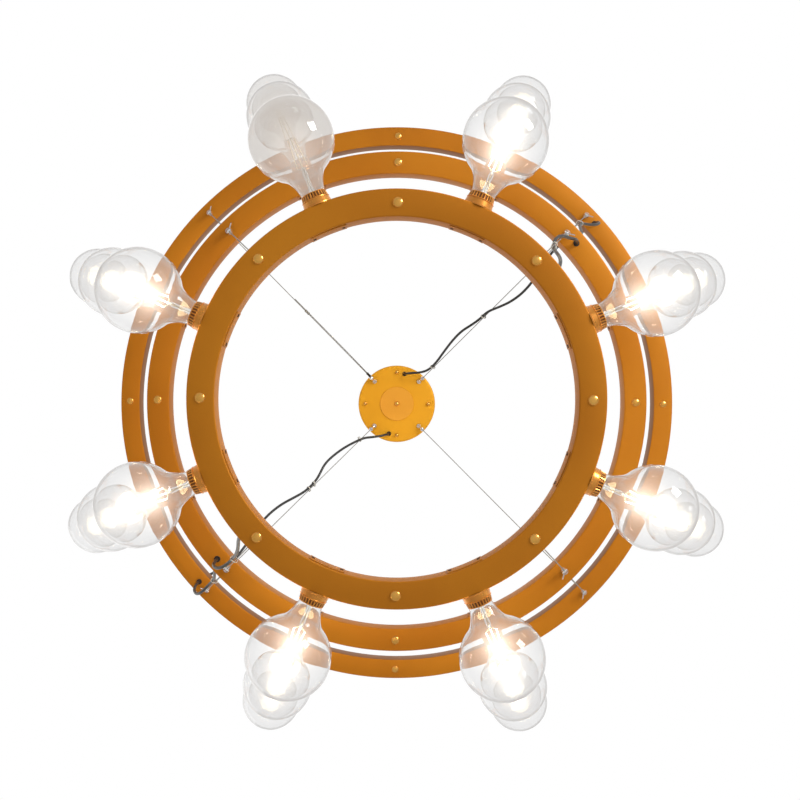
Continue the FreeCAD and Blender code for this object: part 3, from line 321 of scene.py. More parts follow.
finishes = {
    "ringGold": {
        "colour": (0.60, 0.222, 0.012), "shade": (0.51, 0.174, 0.008), "clouds": 3.5, "grain": 900,
        "roughness": 0.44, "metallic": 0.25, "specular": 0.20, "bump": 0.12, "paintedShadeAndDarkTone": (0.22, 0.082, 0.016),
    },
    "canopyGold": {
        "colour": (0.95, 0.47, 0.023), "shade": (0.90, 0.43, 0.020), "clouds": 9, "grain": 900,
        "roughness": 0.42, "metallic": 0.25, "specular": 0.25, "bump": 0.025,
    },
    "discGold": {
        "colour": (0.96, 0.46, 0.045), "shade": (0.92, 0.42, 0.040), "clouds": 12, "grain": 900,
        "roughness": 0.38, "metallic": 0.2, "specular": 0.35, "bump": 0.025,
    },
    "cupGold": {
        "colour": (0.84, 0.36, 0.060), "shade": (0.72, 0.28, 0.042), "clouds": 40, "grain": 1500,
        "roughness": 0.24, "metallic": 0.7, "bump": 0.06, "coat": 0.3, "paintedShadeAndDarkTone": (0.22, 0.075, 0.018),
    },
    "polishedBrass": {
        "colour": (1.0, 0.56, 0.14), "shade": (0.92, 0.47, 0.10), "clouds": 60, "grain": 2000,
        "roughness": 0.16, "metallic": 1, "bump": 0.03, "speck": 0.1,
    },
    "chrome": {
        "colour": (0.86, 0.86, 0.87), "shade": (0.74, 0.74, 0.76), "clouds": 90, "grain": 2500,
        "roughness": 0.10, "metallic": 1, "bump": 0.03,
    },
    "steelRope": {
        "colour": (0.40, 0.385, 0.37), "shade": (0.28, 0.265, 0.25), "clouds": 300, "grain": 3000,
        "roughness": 0.5, "metallic": 0.7, "bump": 0.1, "paintedShadeAndDarkTone": (0.030, 0.026, 0.022),
    },
    "zincSteel": {
        "colour": (0.55, 0.56, 0.58), "shade": (0.40, 0.41, 0.43), "clouds": 25, "grain": 500,
        "roughness": 0.38, "metallic": 0.9, "bump": 0.08, "speck": 0.4,
    },
    "screwSteel": {
        "colour": (0.10, 0.075, 0.055), "shade": (0.05, 0.04, 0.035), "clouds": 80, "grain": 2000,
        "roughness": 0.35, "metallic": 0.8, "bump": 0.05,
    },
    "blackPlastic": {
        "colour": (0.022, 0.021, 0.020), "shade": (0.012, 0.012, 0.012), "clouds": 30, "grain": 1800,
        "roughness": 0.45, "bump": 0.15,
    },
    "blackRubber": {
        "colour": (0.020, 0.020, 0.020), "shade": (0.010, 0.010, 0.010), "clouds": 50, "grain": 1500,
        "roughness": 0.62, "bump": 0.2,
    },
    "cableSheath": {
        "colour": (0.030, 0.030, 0.032), "shade": (0.014, 0.014, 0.015), "clouds": 120, "grain": 1600,
        "roughness": 0.40, "bump": 0.2, "coat": 0.15,
    },
    "wiringSheath": {
        "colour": (0.75, 0.72, 0.64), "shade": (0.60, 0.57, 0.50), "clouds": 30, "grain": 1000,
        "roughness": 0.45, "bump": 0.1,
    },
    "clearNylon": {
        "colour": (0.92, 0.93, 0.93), "shade": (0.82, 0.84, 0.84), "clouds": 200, "grain": 1500,
        "roughness": 0.32, "transmission": 0.35, "bump": 0.1,
    },
    "screwShell": {
        "colour": (0.72, 0.68, 0.58), "shade": (0.52, 0.48, 0.40), "clouds": 70, "grain": 1500,
        "roughness": 0.28, "metallic": 1, "bump": 0.06,
    },
}
materials = {name: makeFinish(name, look) for name, look in finishes.items()}

glassLooks = {
    "bulbGlass": {
        "face": (0.845, 0.855, 0.868), "rim": (0.20, 0.20, 0.21), "light": (1, 0.89, 0.76),
        "paintedHazeGlow": 0.042, "glow": 0.14, "core": 0.22,
    },
    # unlit and dim glass are shaded copies of the bulb glass: a greyer face and a painted haze glow stand in for
    # bulbs that are off
    "unlitGlass": {
        "face": (0.60, 0.60, 0.60), "rim": (0.20, 0.20, 0.21), "light": (1, 0.90, 0.81),
        "paintedHazeGlow": 0.115, "glow": 0.075, "core": 0,
    },
    "dimGlass": {
        "face": (0.82, 0.82, 0.82), "rim": (0.20, 0.20, 0.21), "light": (1, 0.90, 0.80),
        "paintedHazeGlow": 0.045, "glow": 0.030, "core": 0,
    },
}
glassSettings = {
    "index": 1.45, "rimStart": 0.62, "glowReach": 0.45, "glowFall": 3, "coreFall": 14,
    "ripples": 38, "rippleStrength": 0.18, "rippleDepth": 1.2 * mm,
}


def makeGlass(name, look):
    # thin clear glass, greyer towards its rim as painted shade, with a painted haze glow all over and a soft
    # painted glow round the filament, which the glass gives off itself. Lamps shine through it.
    shared = glassSettings
    material, tree, shader = newMaterial(name)
    rim = addRange(tree, addNode(tree, "LayerWeight", {"Blend": 0.5})["Facing"], fromMin=shared["rimStart"])
    ripple = addNode(tree, "Bump", {
        "Strength": shared["rippleStrength"], "Distance": shared["rippleDepth"],
        "Height": addNoise(tree, shared["ripples"], 1),
    })["Normal"]
    outwards = addNode(tree, "Attribute", attribute_name="fromFilament")["Vector"]
    towards = addNode(tree, "LayerWeight", {"Blend": 0.5, "Normal": outwards})["Facing"]
    near = addRange(tree, towards, fromMin=shared["glowReach"], fromMax=0)
    halo = look["paintedHazeGlow"]
    for part in ("glow", "core"):
        fall = addMath(tree, "POWER", near, shared[part + "Fall"])
        halo = addMath(tree, "MULTIPLY_ADD", fall, look[part], halo)
    setInputs(tree, shader, {
        "Transmission Weight": 1, "Roughness": 0, "IOR": shared["index"], "Normal": ripple,
        "Base Color": mixColours(tree, rim, opaque(look["face"]), opaque(look["rim"])),
        "Emission Color": mixColours(tree, halo, (0, 0, 0, 1), opaque(look["light"])),
        "Emission Strength": 1,
    })
    through = addNode(tree, "BsdfTransparent")["BSDF"]
    shadow = addNode(tree, "LightPath")["Is Shadow Ray"]
    mixed = addNode(tree, "MixShader", {"Fac": shadow, 1: shader.outputs["BSDF"], 2: through})["Shader"]
    setInputs(tree, tree.nodes["Material Output"], {"Surface": mixed})
    material.cycles.emission_sampling = "NONE"
    return material


filamentSettings = {
    "beads": 700, "deep": (1, 0.78, 0.45), "pale": (1, 0.93, 0.78), "roughness": 0.5,
    "strengths": {"filamentLit": 14, "filamentUnlit": 0.15},
}


def makeFilament(name, strength):
    # glowing sticks with a beaded colour; the unlit ones keep a faint painted glow
    look = filamentSettings
    material, tree, shader = newMaterial(name)
    colour = mixColours(tree, addNoise(tree, look["beads"]), opaque(look["deep"]), opaque(look["pale"]))
    setInputs(tree, shader, {
        "Base Color": colour, "Emission Color": colour, "Emission Strength": strength,
        "Roughness": look["roughness"],
    })
    material.cycles.emission_sampling = "NONE"
    return material


for materialName, glassLook in glassLooks.items():
    materials[materialName] = makeGlass(materialName, glassLook)
for materialName, glowStrength in filamentSettings["strengths"].items():
    materials[materialName] = makeFilament(materialName, glowStrength)
print("stage: materials")


# Rings of square tube, with covers behind the lamps

ringSettings = {
    "corner": 2 * mm, "steps": 192, "innerWallPaintedShade": {"upper": 0.8, "middle": 0.15, "lower": 0.1},
}
coverSettings = {
    "length": 54 * mm, "height": 30 * mm, "thickness": 1.5 * mm, "gap": 0.1 * mm, "steps": 10,
    "edge": 0.5 * mm, "screwPlace": 22.5 * mm, "screwRadius": 2.6 * mm, "screwHeight": 1.3 * mm, "screwSteps": 14,
}


def makeRing(tier):
    inner, outer = tier["radius"] - section, tier["radius"]
    corners = [(inner, tier["bottom"]), (outer, tier["bottom"]), (outer, tier["top"]), (inner, tier["top"])]
    work = turned(corners, ringSettings["steps"], closed=True, rounding=ringSettings["corner"])
    # painted shade on the inner wall, strongest on the upper tier
    shade = ringSettings["innerWallPaintedShade"][tier["name"]]
    markPaintedShadeAndDarkTone(work, shade, lambda vert: vert.co.xy.length < inner + 0.1 * mm)
    addPiece(f"{tier['name']}_ring_tube", work, "ringGold", 32, f"{tier['name']}_ring", "tiers")


def makeCovers(tier):
    look = coverSettings
    face = tier["radius"] - section - look["gap"]
    back = face - look["thickness"]
    half = look["height"] / 2
    turn = look["length"] / face
    master = bmesh.new()
    verts, edges = addProfile(master, [(back, -half), (face, -half), (face, half), (back, half)], closed=True)
    bmesh.ops.rotate(master, verts=verts, cent=(0, 0, 0), matrix=Matrix.Rotation(-turn / 2, 3, "Z"))
    end = bmesh.ops.contextual_create(master, geom=edges)["faces"][0]
    bmesh.ops.spin(master, geom=[end, *edges, *verts], cent=(0, 0, 0), axis=zAxis, angle=turn,
                   steps=look["steps"])
    bmesh.ops.recalc_face_normals(master, faces=master.faces[:])
    middle = face - look["thickness"] / 2
    inwardEdges = [
        edge for edge in master.edges
        if edge.calc_face_angle(0) > 1 and all(vert.co.xy.length < middle for vert in edge.verts)
    ]
    bevelEdges(master, inwardEdges, look["edge"])
    # the covers on the inner wall get the same painted shade
    markPaintedShadeAndDarkTone(master, ringSettings["innerWallPaintedShade"][tier["name"]])
    places = [outward(0, angle, tier["middle"]) for angle in lampAngles]
    addPiece(f"{tier['name']}_covers", copies(master, places), "ringGold", 32,
             f"{tier['name']}_access_covers", "tiers")


def makeCoverScrews(tier):
    look = coverSettings
    radius, height = look["screwRadius"], look["screwHeight"]
    dome = domeOutline(radius * 0.92, height * 0.5, height * 0.5, 3, side=1)
    master = turned([(0, 0), (radius, 0), (radius, height * 0.45), *dome], look["screwSteps"])
    slot = bmesh.ops.create_cube(master, size=1)["verts"]
    bmesh.ops.scale(master, vec=(radius * 1.7, radius * 0.3, height * 0.3), verts=slot)
    bmesh.ops.translate(master, vec=(0, 0, height * 0.9), verts=slot)
    face = tier["radius"] - section - look["gap"] - look["thickness"]
    turn = look["screwPlace"] / face
    spots = [angle + side * turn for angle in lampAngles for side in (-1, 1)]
    places = [alongAxis(around(face, spot, tier["middle"]), -around(1, spot, 0)) for spot in spots]
    addPiece(f"{tier['name']}_cover_screws", copies(master, places), "screwSteel", 32,
             body="tiers")


rivetSettings = {
    "radius": 7.6 * mm, "height": 3.6 * mm, "lip": 0.5 * mm, "domeSteps": 8, "steps": 28, "counts": (4, 4, 8),
}


def makeRivets():
    # domed heads in the rings' lower faces
    look = rivetSettings
    radius, lip = look["radius"], look["lip"]
    dome = domeOutline(radius * 0.97, look["height"] - lip, -lip, look["domeSteps"])
    master = turned([(0, 0), (radius, 0), (radius, -lip), *dome], look["steps"])
    places = [
        Matrix.Translation(around(tier["radius"] - section / 2, fullTurn * number / count, tier["bottom"]))
        for tier, count in zip(tiers, look["counts"]) for number in range(count)
    ]
    addPiece("rivet_heads", copies(master, places), "polishedBrass", 40,
             "face_rivets", "tiers")


cupSettings = {
    "length": 19 * mm, "base": 22 * mm, "bandEnd": 20.6 * mm, "bandLength": 10 * mm, "rim": 18.4 * mm,
    "wall": 1.1 * mm, "flutes": 26, "fluteDepth": 1.3 * mm, "inset": 1 * mm, "lip": 1 * mm,
}


def makeCups(tier):
    # smooth band with a raised lip at each end, then an outer band cut by short flutes
    look = cupSettings
    steps = look["flutes"] * 4
    band, end, base, rim, wall = look["bandLength"], look["length"], look["base"], look["rim"], look["wall"]
    bandEnd = look["bandEnd"]
    start, stop = band + 1.2 * mm, end - 1.6 * mm
    master = turned([
        (base - wall, -look["inset"]), (base, -look["inset"]), (base, look["lip"]),
        (base - 0.7 * mm, look["lip"] + 0.5 * mm), (bandEnd - 0.5 * mm, band - 1.5 * mm),
        (bandEnd + 0.1 * mm, band - 0.9 * mm), (bandEnd + 0.1 * mm, band),
        (bandEnd - 0.7 * mm, band + 0.5 * mm), (bandEnd - 0.9 * mm, start), (rim + 0.3 * mm, stop), (rim + 0.3 * mm, stop + 0.3 * mm), (rim, end),
        (rim - wall, end), (rim - wall, end - 4 * mm), (base - wall - 0.6 * mm, band * 0.5),
    ], steps, closed=True)

    def isFluted(vert):
        if vert.co.xy.length < rim - 0.2 * mm or not start - 1e-6 < vert.co.z < stop + 1e-6:
            return False
        return round(math.atan2(vert.co.y, vert.co.x) / fullTurn * steps) % 4 in (1, 2)

    # painted shade in the flute slots, which are cut in only shallowly
    markPaintedShadeAndDarkTone(master, 1, isFluted)
    for vert in [vert for vert in master.verts if isFluted(vert)]:
        vert.co.xy *= 1 - look["fluteDepth"] / vert.co.xy.length
    layAlongX(master)
    places = [outward(tier["radius"], angle, tier["middle"]) for angle in lampAngles]
    addPiece(f"{tier['name']}_cups", copies(master, places), "cupGold", 30,
             f"{tier['name']}_socket_cups", "tiers")


for ringTier in tiers:
    makeRing(ringTier)
    makeCovers(ringTier)
    makeCoverScrews(ringTier)
    makeCups(ringTier)
makeRivets()
print("stage: rings")


# Bulbs: globe, neck, stem, screw base and filament, each made along +X from the start of the glass

bulbSettings = {
    "seat": 18 * mm, "deeper": {"lower": 5 * mm},
    "neck": 16.6 * mm, "neckPull": 17 * mm, "neckLean": 1.8 * mm, "neckSteps": 12, "joint": 31,
    "globe": 62.5 * mm, "centre": 90.5 * mm, "globePull": 9 * mm, "globeSteps": 24,
    "wall": 0.8 * mm, "steps": 56,
    "stemRadius": 4.2 * mm, "stemLength": 48 * mm, "stemFlare": 11.5 * mm, "stemSteps": 20,
    "stickRadius": 0.8 * mm, "stickLength": 43 * mm, "stickSpread": 8.2 * mm, "stickTaper": 0.55, "sticks": 4,
    "filamentMiddle": 72 * mm, "leadRadius": 0.35 * mm,
    "baseRadius": 13 * mm, "baseLength": 21.5 * mm, "baseSteps": 32,
    "threads": 5, "threadDepth": 0.9 * mm, "threadSteps": 6,
    "tip": 7 * mm, "tipLength": 3 * mm, "contact": 4.4 * mm, "contactLength": 1.4 * mm,
}
unlitBulbs = {"lower_bulb_6": "unlitGlass", "middle_bulb_6": "dimGlass", "upper_bulb_6": "dimGlass"}


def curvePoint(points, share):
    # cubic through its two end points, pulled by the two middle ones
    rest = 1 - share
    weights = (rest ** 3, 3 * rest * rest * share, 3 * rest * share * share, share ** 3)
    return tuple(sum(weight * point[axis] for weight, point in zip(weights, points)) for axis in (0, 1))


def glassOutline():
    look = bulbSettings
    joint = math.radians(180 - look["joint"])
    radius, centre = look["globe"], look["centre"]
    meet = (radius * math.sin(joint), centre + radius * math.cos(joint))
    slope = (-math.cos(joint), math.sin(joint))
    pulls = [
        (look["neck"], 0), (look["neck"] + look["neckLean"], look["neckPull"]),
        (meet[0] - slope[0] * look["globePull"], meet[1] - slope[1] * look["globePull"]), meet,
    ]
    neck = [curvePoint(pulls, step / look["neckSteps"]) for step in range(look["neckSteps"])]
    angles = [joint * (1 - step / look["globeSteps"]) for step in range(look["globeSteps"] + 1)]
    return neck + [(radius * math.sin(angle), centre + radius * math.cos(angle)) for angle in angles]


def glassMesh():
    look = bulbSettings
    work = turned(glassOutline(), look["steps"])
    bmesh.ops.solidify(work, geom=work.faces[:], thickness=look["wall"])
    radius = look["stemRadius"]
    stem = turned([
        (look["stemFlare"], 0.3 * mm), (look["stemFlare"] * 0.62, 5 * mm), (radius, 12 * mm),
        (radius * 0.75, 26 * mm), (radius * 0.9, 36 * mm), (radius * 0.55, look["stemLength"] - 1.5 * mm),
        (0, look["stemLength"]),
    ], look["stemSteps"])
    appendMesh(work, stem, [Matrix()])
    return layAlongX(work)


def addRod(work, start, end, radius, sides=6):
    made = bmesh.ops.create_cone(work, cap_ends=True, segments=sides, radius1=radius, radius2=radius,
                                 depth=(end - start).length)
    bmesh.ops.transform(work, matrix=alongAxis((start + end) / 2, end - start), verts=made["verts"])


def stickEnds():
    # lower and upper end of each glowing stick
    look = bulbSettings
    low, high = look["stemLength"], look["stemLength"] + look["stickLength"]
    count = look["sticks"]
    spots = [around(look["stickSpread"], fullTurn * number / count, 0) for number in range(count)]
    return [(spot + zAxis * low, spot * look["stickTaper"] + zAxis * high) for spot in spots]


def filamentMesh():
    work = bmesh.new()
    for low, high in stickEnds():
        addRod(work, low, high, bulbSettings["stickRadius"], 8)
    return layAlongX(work)


def supportMesh():
    # wire crosses that hold the sticks, and the lead wires beside the stem
    look = bulbSettings
    radius = look["leadRadius"]
    work = bmesh.new()
    for low, high in stickEnds():
        addRod(work, zAxis * (low.z - 6 * mm), low, radius)
        addRod(work, zAxis * (high.z + 2 * mm), high, radius)
    for side in (-1, 1):
        foot, head = Vector((side * 2.5 * mm, 0, 6 * mm)), Vector((side * 3.2 * mm, 0, look["stemLength"]))
        addRod(work, foot, head, radius)
    return layAlongX(work)


def baseMesh():
    look = bulbSettings
    radius, length = look["baseRadius"], look["baseLength"]
    outline = [(0, 0.2 * mm), (radius * 0.97, 0.2 * mm)]
    turns = look["threads"] * look["threadSteps"]
    for step in range(turns + 1):
        wave = 0.5 - 0.5 * math.cos(fullTurn * step / look["threadSteps"])
        outline.append((radius - look["threadDepth"] * (1 - wave), -length * (0.06 + 0.86 * step / turns)))
    tipEnd = -length - look["tipLength"]
    contactEnd = tipEnd - look["contactLength"]
    outline += [
        (radius * 0.93, -length), (look["tip"], tipEnd), (look["contact"], tipEnd),
        (look["contact"], contactEnd), (0, contactEnd),
    ]
    return layAlongX(turned(outline, look["baseSteps"]))


def markOutwards(piece, middle):
    # each vertex keeps its direction from the filament, for the painted glow in the glass
    marks = piece.data.attributes.new("fromFilament", "FLOAT_VECTOR", "POINT")
    for vert, mark in zip(piece.data.vertices, marks.data):
        mark.vector = (vert.co - middle).normalized()


bulbParts = (
    ("glass", glassMesh, "bulbGlass"), ("filament", filamentMesh, "filamentLit"),
    ("supports", supportMesh, "screwShell"), ("base", baseMesh, "screwShell"),
)


def makeBulbs(part, build, finish):
    look = bulbSettings
    master = build()
    for tier in tiers:
        start = tier["radius"] + look["seat"] - look["deeper"].get(tier["name"], 0)
        for number, angle in enumerate(lampAngles, start=1):
            node = f"{tier['name']}_bulb_{number}"
            used = finish
            if node in unlitBulbs:
                used = {"bulbGlass": unlitBulbs[node], "filamentLit": "filamentUnlit"}.get(finish, finish)
            place = outward(start, angle, tier["middle"])
            piece = addPiece(f"{node}_{part}", copies(master.copy(), [place]), used,
                             50 if part == "base" else None, node, node, recalculate=False)
            if part == "glass":
                markOutwards(piece, place @ Vector((look["filamentMiddle"], 0, 0)))
    master.free()


for bulbPart in bulbParts:
    makeBulbs(*bulbPart)
print("stage: bulbs")


# Canopy

canopySettings = {
    "wall": 1.5 * mm, "corner": 5 * mm, "cornerSteps": 6, "steps": 128, "fixing": 18 * mm,
    "disc": 44 * mm, "discThickness": 2.5 * mm, "screw": 6.5 * mm, "screwHeight": 4.5 * mm, "screwSteps": 32,
    "nut": 5 * mm, "nutSide": 4.5 * mm, "nutDome": 4 * mm, "nutSteps": 24,
}
fixingCircle = canopyRadius - canopySettings["fixing"]
discFloor = canopyFloor - canopySettings["discThickness"]


def makeDish():
    look = canopySettings
    work = turned([(0, canopyFloor), (canopyRadius, canopyFloor), (canopyRadius, 0)], look["steps"],
                  rounding=look["corner"], segments=look["cornerSteps"])
    if next(face for face in work.faces if face.calc_center_median().z < canopyFloor + 1e-5).normal.z > 0:
        bmesh.ops.reverse_faces(work, faces=work.faces[:])
    bmesh.ops.solidify(work, geom=work.faces[:], thickness=look["wall"])
    addPiece("canopy_shell", work, "canopyGold", 50, "canopy_dish", "canopy")


def makeDisc():
    # centre cover, hollowed a little round its screw
    look = canopySettings
    disc, screw = look["disc"], look["screw"]
    floor = discFloor + 0.5 * mm
    work = turned([
        (0, canopyFloor), (disc, canopyFloor), (disc, discFloor + 0.9 * mm), (disc - 0.9 * mm, discFloor),
        (screw + 1.6 * mm, discFloor), (screw + 1 * mm, floor), (0, floor),
    ], look["steps"])
    addPiece("canopy_disc", work, "discGold", 32, "canopy_cover", "canopy")


def makeCentreScrew():
    look = canopySettings
    foot = discFloor + 0.5 * mm
    dome = domeOutline(look["screw"], look["screwHeight"], discFloor, 8)
    work = turned([(0, foot), (look["screw"], foot), *dome], look["screwSteps"])
    addPiece("canopy_screw_head", work, "polishedBrass", 50,
             "canopy_centre_screw", "canopy")


def makeCapNuts():
    # hexagon foot with a round dome
    look = canopySettings
    nut, side = look["nut"], look["nutSide"]
    master = turned([(0, -side), *domeOutline(nut * 0.9, look["nutDome"], -side, 6)], look["nutSteps"])
    foot = bmesh.ops.create_cone(master, cap_ends=True, segments=6, radius1=nut, radius2=nut, depth=side)
    made = foot["verts"]
    bmesh.ops.translate(master, vec=(0, 0, -side / 2), verts=made)
    bevelEdges(master, [edge for edge in master.edges if all(vert in made for vert in edge.verts)], 0.35 * mm)
    spots = [around(fixingCircle, fullTurn * number / 4, canopyFloor) for number in range(4)]
    places = [Matrix.Translation(spot) for spot in spots]
    addPiece("canopy_nuts", copies(master, places), "polishedBrass", 40, "canopy_cap_nuts",
             "canopy")


makeDish()
makeDisc()
makeCentreScrew()
makeCapNuts()
print("stage: canopy")


# Heights of the start, middle and end of the sway bend between the canopy and the hanging part; the wires and
# cables are split in two at the middle one

swayBend = {"start": -0.036, "middle": -0.075, "end": -0.190}
swayMiddle = zAxis * swayBend["middle"]


def splitMesh(work, place, along):
    # the parts before and after a plane, each closed at the cut
    halves = []
    for before in (True, False):
        half = work.copy()
        cut = bmesh.ops.bisect_plane(half, geom=half.verts[:] + half.edges[:] + half.faces[:], plane_co=place,
                                     plane_no=along, clear_inner=not before, clear_outer=before, dist=1e-7)
        rims = [item for item in cut["geom_cut"] if isinstance(item, bmesh.types.BMEdge)]
        bmesh.ops.edgeloop_fill(half, edges=rims)
        halves.append(half)
    work.free()
    return halves


def blendHalves(names, work, finish, place, along):
    # splits the mesh at the plane into a first part at the canopy and a second towards the tiers, both with their
    # transforms applied
    halves = splitMesh(work, place, along)
    pieces = [addPiece(name, half, finish, 60) for name, half in zip(names, halves)]
    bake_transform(pieces[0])
    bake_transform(pieces[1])
    return pieces


# Wires and their fittings

wireSettings = {
    "radius": 1 * mm, "pitch": 20 * mm, "sides": 12, "groove": 0.80, "stepsPerTurn": 12, "inset": 3.3 * mm,
    "collar": 6 * mm, "collarHeight": 4 * mm, "collarSides": 36, "knurl": 0.95,
    "gripper": 5 * mm, "gripperLength": 16 * mm, "nose": 2.6 * mm, "noseLength": 5 * mm,
    "terminal": 4 * mm, "terminalLength": 11 * mm, "terminalNose": 2 * mm,
    "barrelSteps": 28, "waist": 0.5 * mm, "boreClearance": 0.3 * mm, "boreDepth": 4 * mm,
    "tailRadius": 1.2 * mm, "tailLength": 12 * mm,
    "sleeve": 2.6 * mm, "sleeveLength": 14 * mm, "sleevePlace": 289 * mm, "sleeveSteps": 20,
    "spareSide": 2.2 * mm, "spareEnd": 58 * mm, "darkPlace": 22.5 * mm,
}


def wireEnds(number, angle):
    # where a wire leaves the fitting above and enters the terminal on the ring below, and its direction
    collar = wireSettings["collarHeight"]
    tier, above = tiers[number], tiers[number - 1]
    top = around(fixingCircle, angle, canopyFloor - collar)
    if number > 0:
        top = around(above["radius"] - section / 2, angle, above["bottom"] - collar)
    low = around(tier["radius"] - section / 2, angle, tier["top"] + collar)
    return top, low, (low - top).normalized()


def addRope(work, start, end, radius=wireSettings["radius"]):
    # twisted strands: a lobed outline carried along the wire as it turns
    look = wireSettings
    direction = (end - start).normalized()
    length = (end - start).length
    steps = max(2, round(length / look["pitch"] * look["stepsPerTurn"]))
    made = bmesh.ops.create_circle(work, cap_ends=True, segments=look["sides"], radius=radius)["verts"]
    for vert in made[1::2]:
        vert.co *= look["groove"]
    bmesh.ops.transform(work, matrix=alongAxis(start, direction), verts=made)
    edges = {edge for vert in made for edge in vert.link_edges}
    faces = {face for vert in made for face in vert.link_faces}
    bmesh.ops.spin(work, geom=[*made, *edges, *faces], cent=start, axis=direction, steps=steps,
                   dvec=direction * (length / steps), angle=fullTurn * length / look["pitch"])


def addWire(work, ends):
    top, low, direction = ends
    addRope(work, top + direction * wireSettings["inset"], low - direction * wireSettings["inset"])


def addSleeve(work, place, direction, side, dark=0):
    # crimped sleeve round both strands, its start at place
    look = wireSettings
    bore, outer, length = look["radius"], look["sleeve"], look["sleeveLength"]
    sleeve = turned([
        (bore, 0), (outer * 0.9, 0), (outer, 0.5 * mm), (outer, length * 0.3), (outer * 0.86, length * 0.36),
        (outer * 0.86, length * 0.64), (outer, length * 0.7), (outer, length - 0.5 * mm),
        (outer * 0.9, length), (bore, length),
    ], look["sleeveSteps"], closed=True)
    bmesh.ops.scale(sleeve, vec=(1, 1.25, 1), verts=sleeve.verts[:])
    markPaintedShadeAndDarkTone(sleeve, dark)
    turn = Matrix((direction.cross(side), side, direction)).transposed().to_4x4()
    appendMesh(work, sleeve, [Matrix.Translation(place) @ turn])


def addSpareTail(work, top, direction, angle):
    # the spare end comes back along the wire, through a dark sleeve at the gripper and a crimp sleeve
    look = wireSettings
    across = around(1, angle + math.pi / 2, 0)
    side = across * look["spareSide"]
    place = top + direction * look["sleevePlace"]
    start = top + direction * (look["gripperLength"] + look["noseLength"] * 0.6) + side * 0.7
    bend = top + direction * (look["sleevePlace"] * 0.45) + side * 1.1
    addRope(work, start, bend)
    addRope(work, bend, place + direction * look["spareEnd"] + side * 0.9)
    addSleeve(work, place + side * 0.4, direction, across)
    addSleeve(work, top + direction * look["darkPlace"] + side * 0.4, direction, across, dark=1)


def makeCanopyWires():
    work = bmesh.new()
    for angle in wireAngles:
        ends = wireEnds(0, angle)
        addWire(work, ends)
        if math.cos(angle) < 0 and math.sin(angle) < 0:
            addSpareTail(work, ends[0], ends[2], angle)
    names = ("canopy_wires_top", "canopy_wires")
    pieces = blendHalves(names, work, "steelRope", swayMiddle, -zAxis)
    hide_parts("upper_wires")


def makeRingWires(number):
    work = bmesh.new()
    for angle in wireAngles:
        addWire(work, wireEnds(number, angle))
    name = tiers[number]["name"]
    addPiece(f"{name}_ring_wires", work, "steelRope", 60, f"{name}_wires", "tiers")


def collarMesh():
    # knurled collar, its face at z = 0 and its foot at z = collarHeight
    look = wireSettings
    radius, height, sides = look["collar"], look["collarHeight"], look["collarSides"]
    work = turned([
        (0, 0), (radius - 0.6 * mm, 0), (radius, 0.6 * mm), (radius, height - 0.8 * mm),
        (radius - 0.4 * mm, height), (0, height),
    ], sides)
    for vert in work.verts:
        place = round(math.atan2(vert.co.y, vert.co.x) / fullTurn * sides)
        if vert.co.xy.length > radius - 0.1 * mm and place % 2:
            vert.co.xy *= look["knurl"]
    return work


def barrelMesh(radius, length, noseLength):
    # barrel along +Z with a rounded root, a waist groove, a tapered nose and the wire's bore
    look = wireSettings
    bore = look["radius"] + look["boreClearance"]
    waist = radius - look["waist"]
    end = length + noseLength
    floor = end - look["boreDepth"]
    angles = [math.pi / 2 * step / 5 for step in range(6)]
    root = [(radius * math.sin(angle), 2 * mm - radius * 0.68 * math.cos(angle)) for angle in angles]
    return turned([
        *root, (radius, length * 0.35), (waist, length * 0.4), (waist, length * 0.5), (radius, length * 0.55),
        (radius, length - 0.6 * mm), (waist, length), (look["nose"], end), (bore, end), (bore, floor),
        (0, floor),
    ], look["barrelSteps"])


def addGripper(work, pivot, direction):
    look = wireSettings
    appendMesh(work, collarMesh(), [Matrix.Translation(pivot)])
    barrel = barrelMesh(look["gripper"], look["gripperLength"], look["noseLength"])
    appendMesh(work, barrel, [alongAxis(pivot, direction)])


def addShortTail(work, pivot, direction, angle):
    # spare wire that comes out of a gripper's side
    look = wireSettings
    side = around(1, angle + math.pi / 3, 0)
    start = pivot + direction * look["gripperLength"] * 0.35 + side * look["gripper"] * 0.6
    addRope(work, start, start + (side - zAxis * 0.2) * look["tailLength"], look["tailRadius"])


def addTerminal(work, pivot, direction):
    look = wireSettings
    appendMesh(work, collarMesh(), [Matrix.Translation(pivot - zAxis * look["collarHeight"])])
    barrel = barrelMesh(look["terminal"], look["terminalLength"], look["terminalNose"])
    appendMesh(work, barrel, [alongAxis(pivot, direction)])


def makeCanopyGrippers():
    work = bmesh.new()
    for angle in wireAngles:
        top, low, direction = wireEnds(0, angle)
        addGripper(work, top, direction)
    addPiece("canopy_wire_grips", work, "chrome", 35, "canopy_grippers", "canopy")


def makeRingFittings():
    work = bmesh.new()
    for number in range(len(tiers)):
        for angle in wireAngles:
            top, low, direction = wireEnds(number, angle)
            addTerminal(work, low, -direction)
            if number > 0:
                addGripper(work, top, direction)
                addShortTail(work, top, direction, angle)
    addPiece("ring_wire_grips", work, "chrome", 35, "ring_wire_fittings", "tiers")


makeCanopyWires()
makeRingWires(1)
makeRingWires(2)
makeCanopyGrippers()
makeRingFittings()
print("stage: wires")


# Cables: points beside the wire that each follows, in millimetres: along its bearing, across it, height

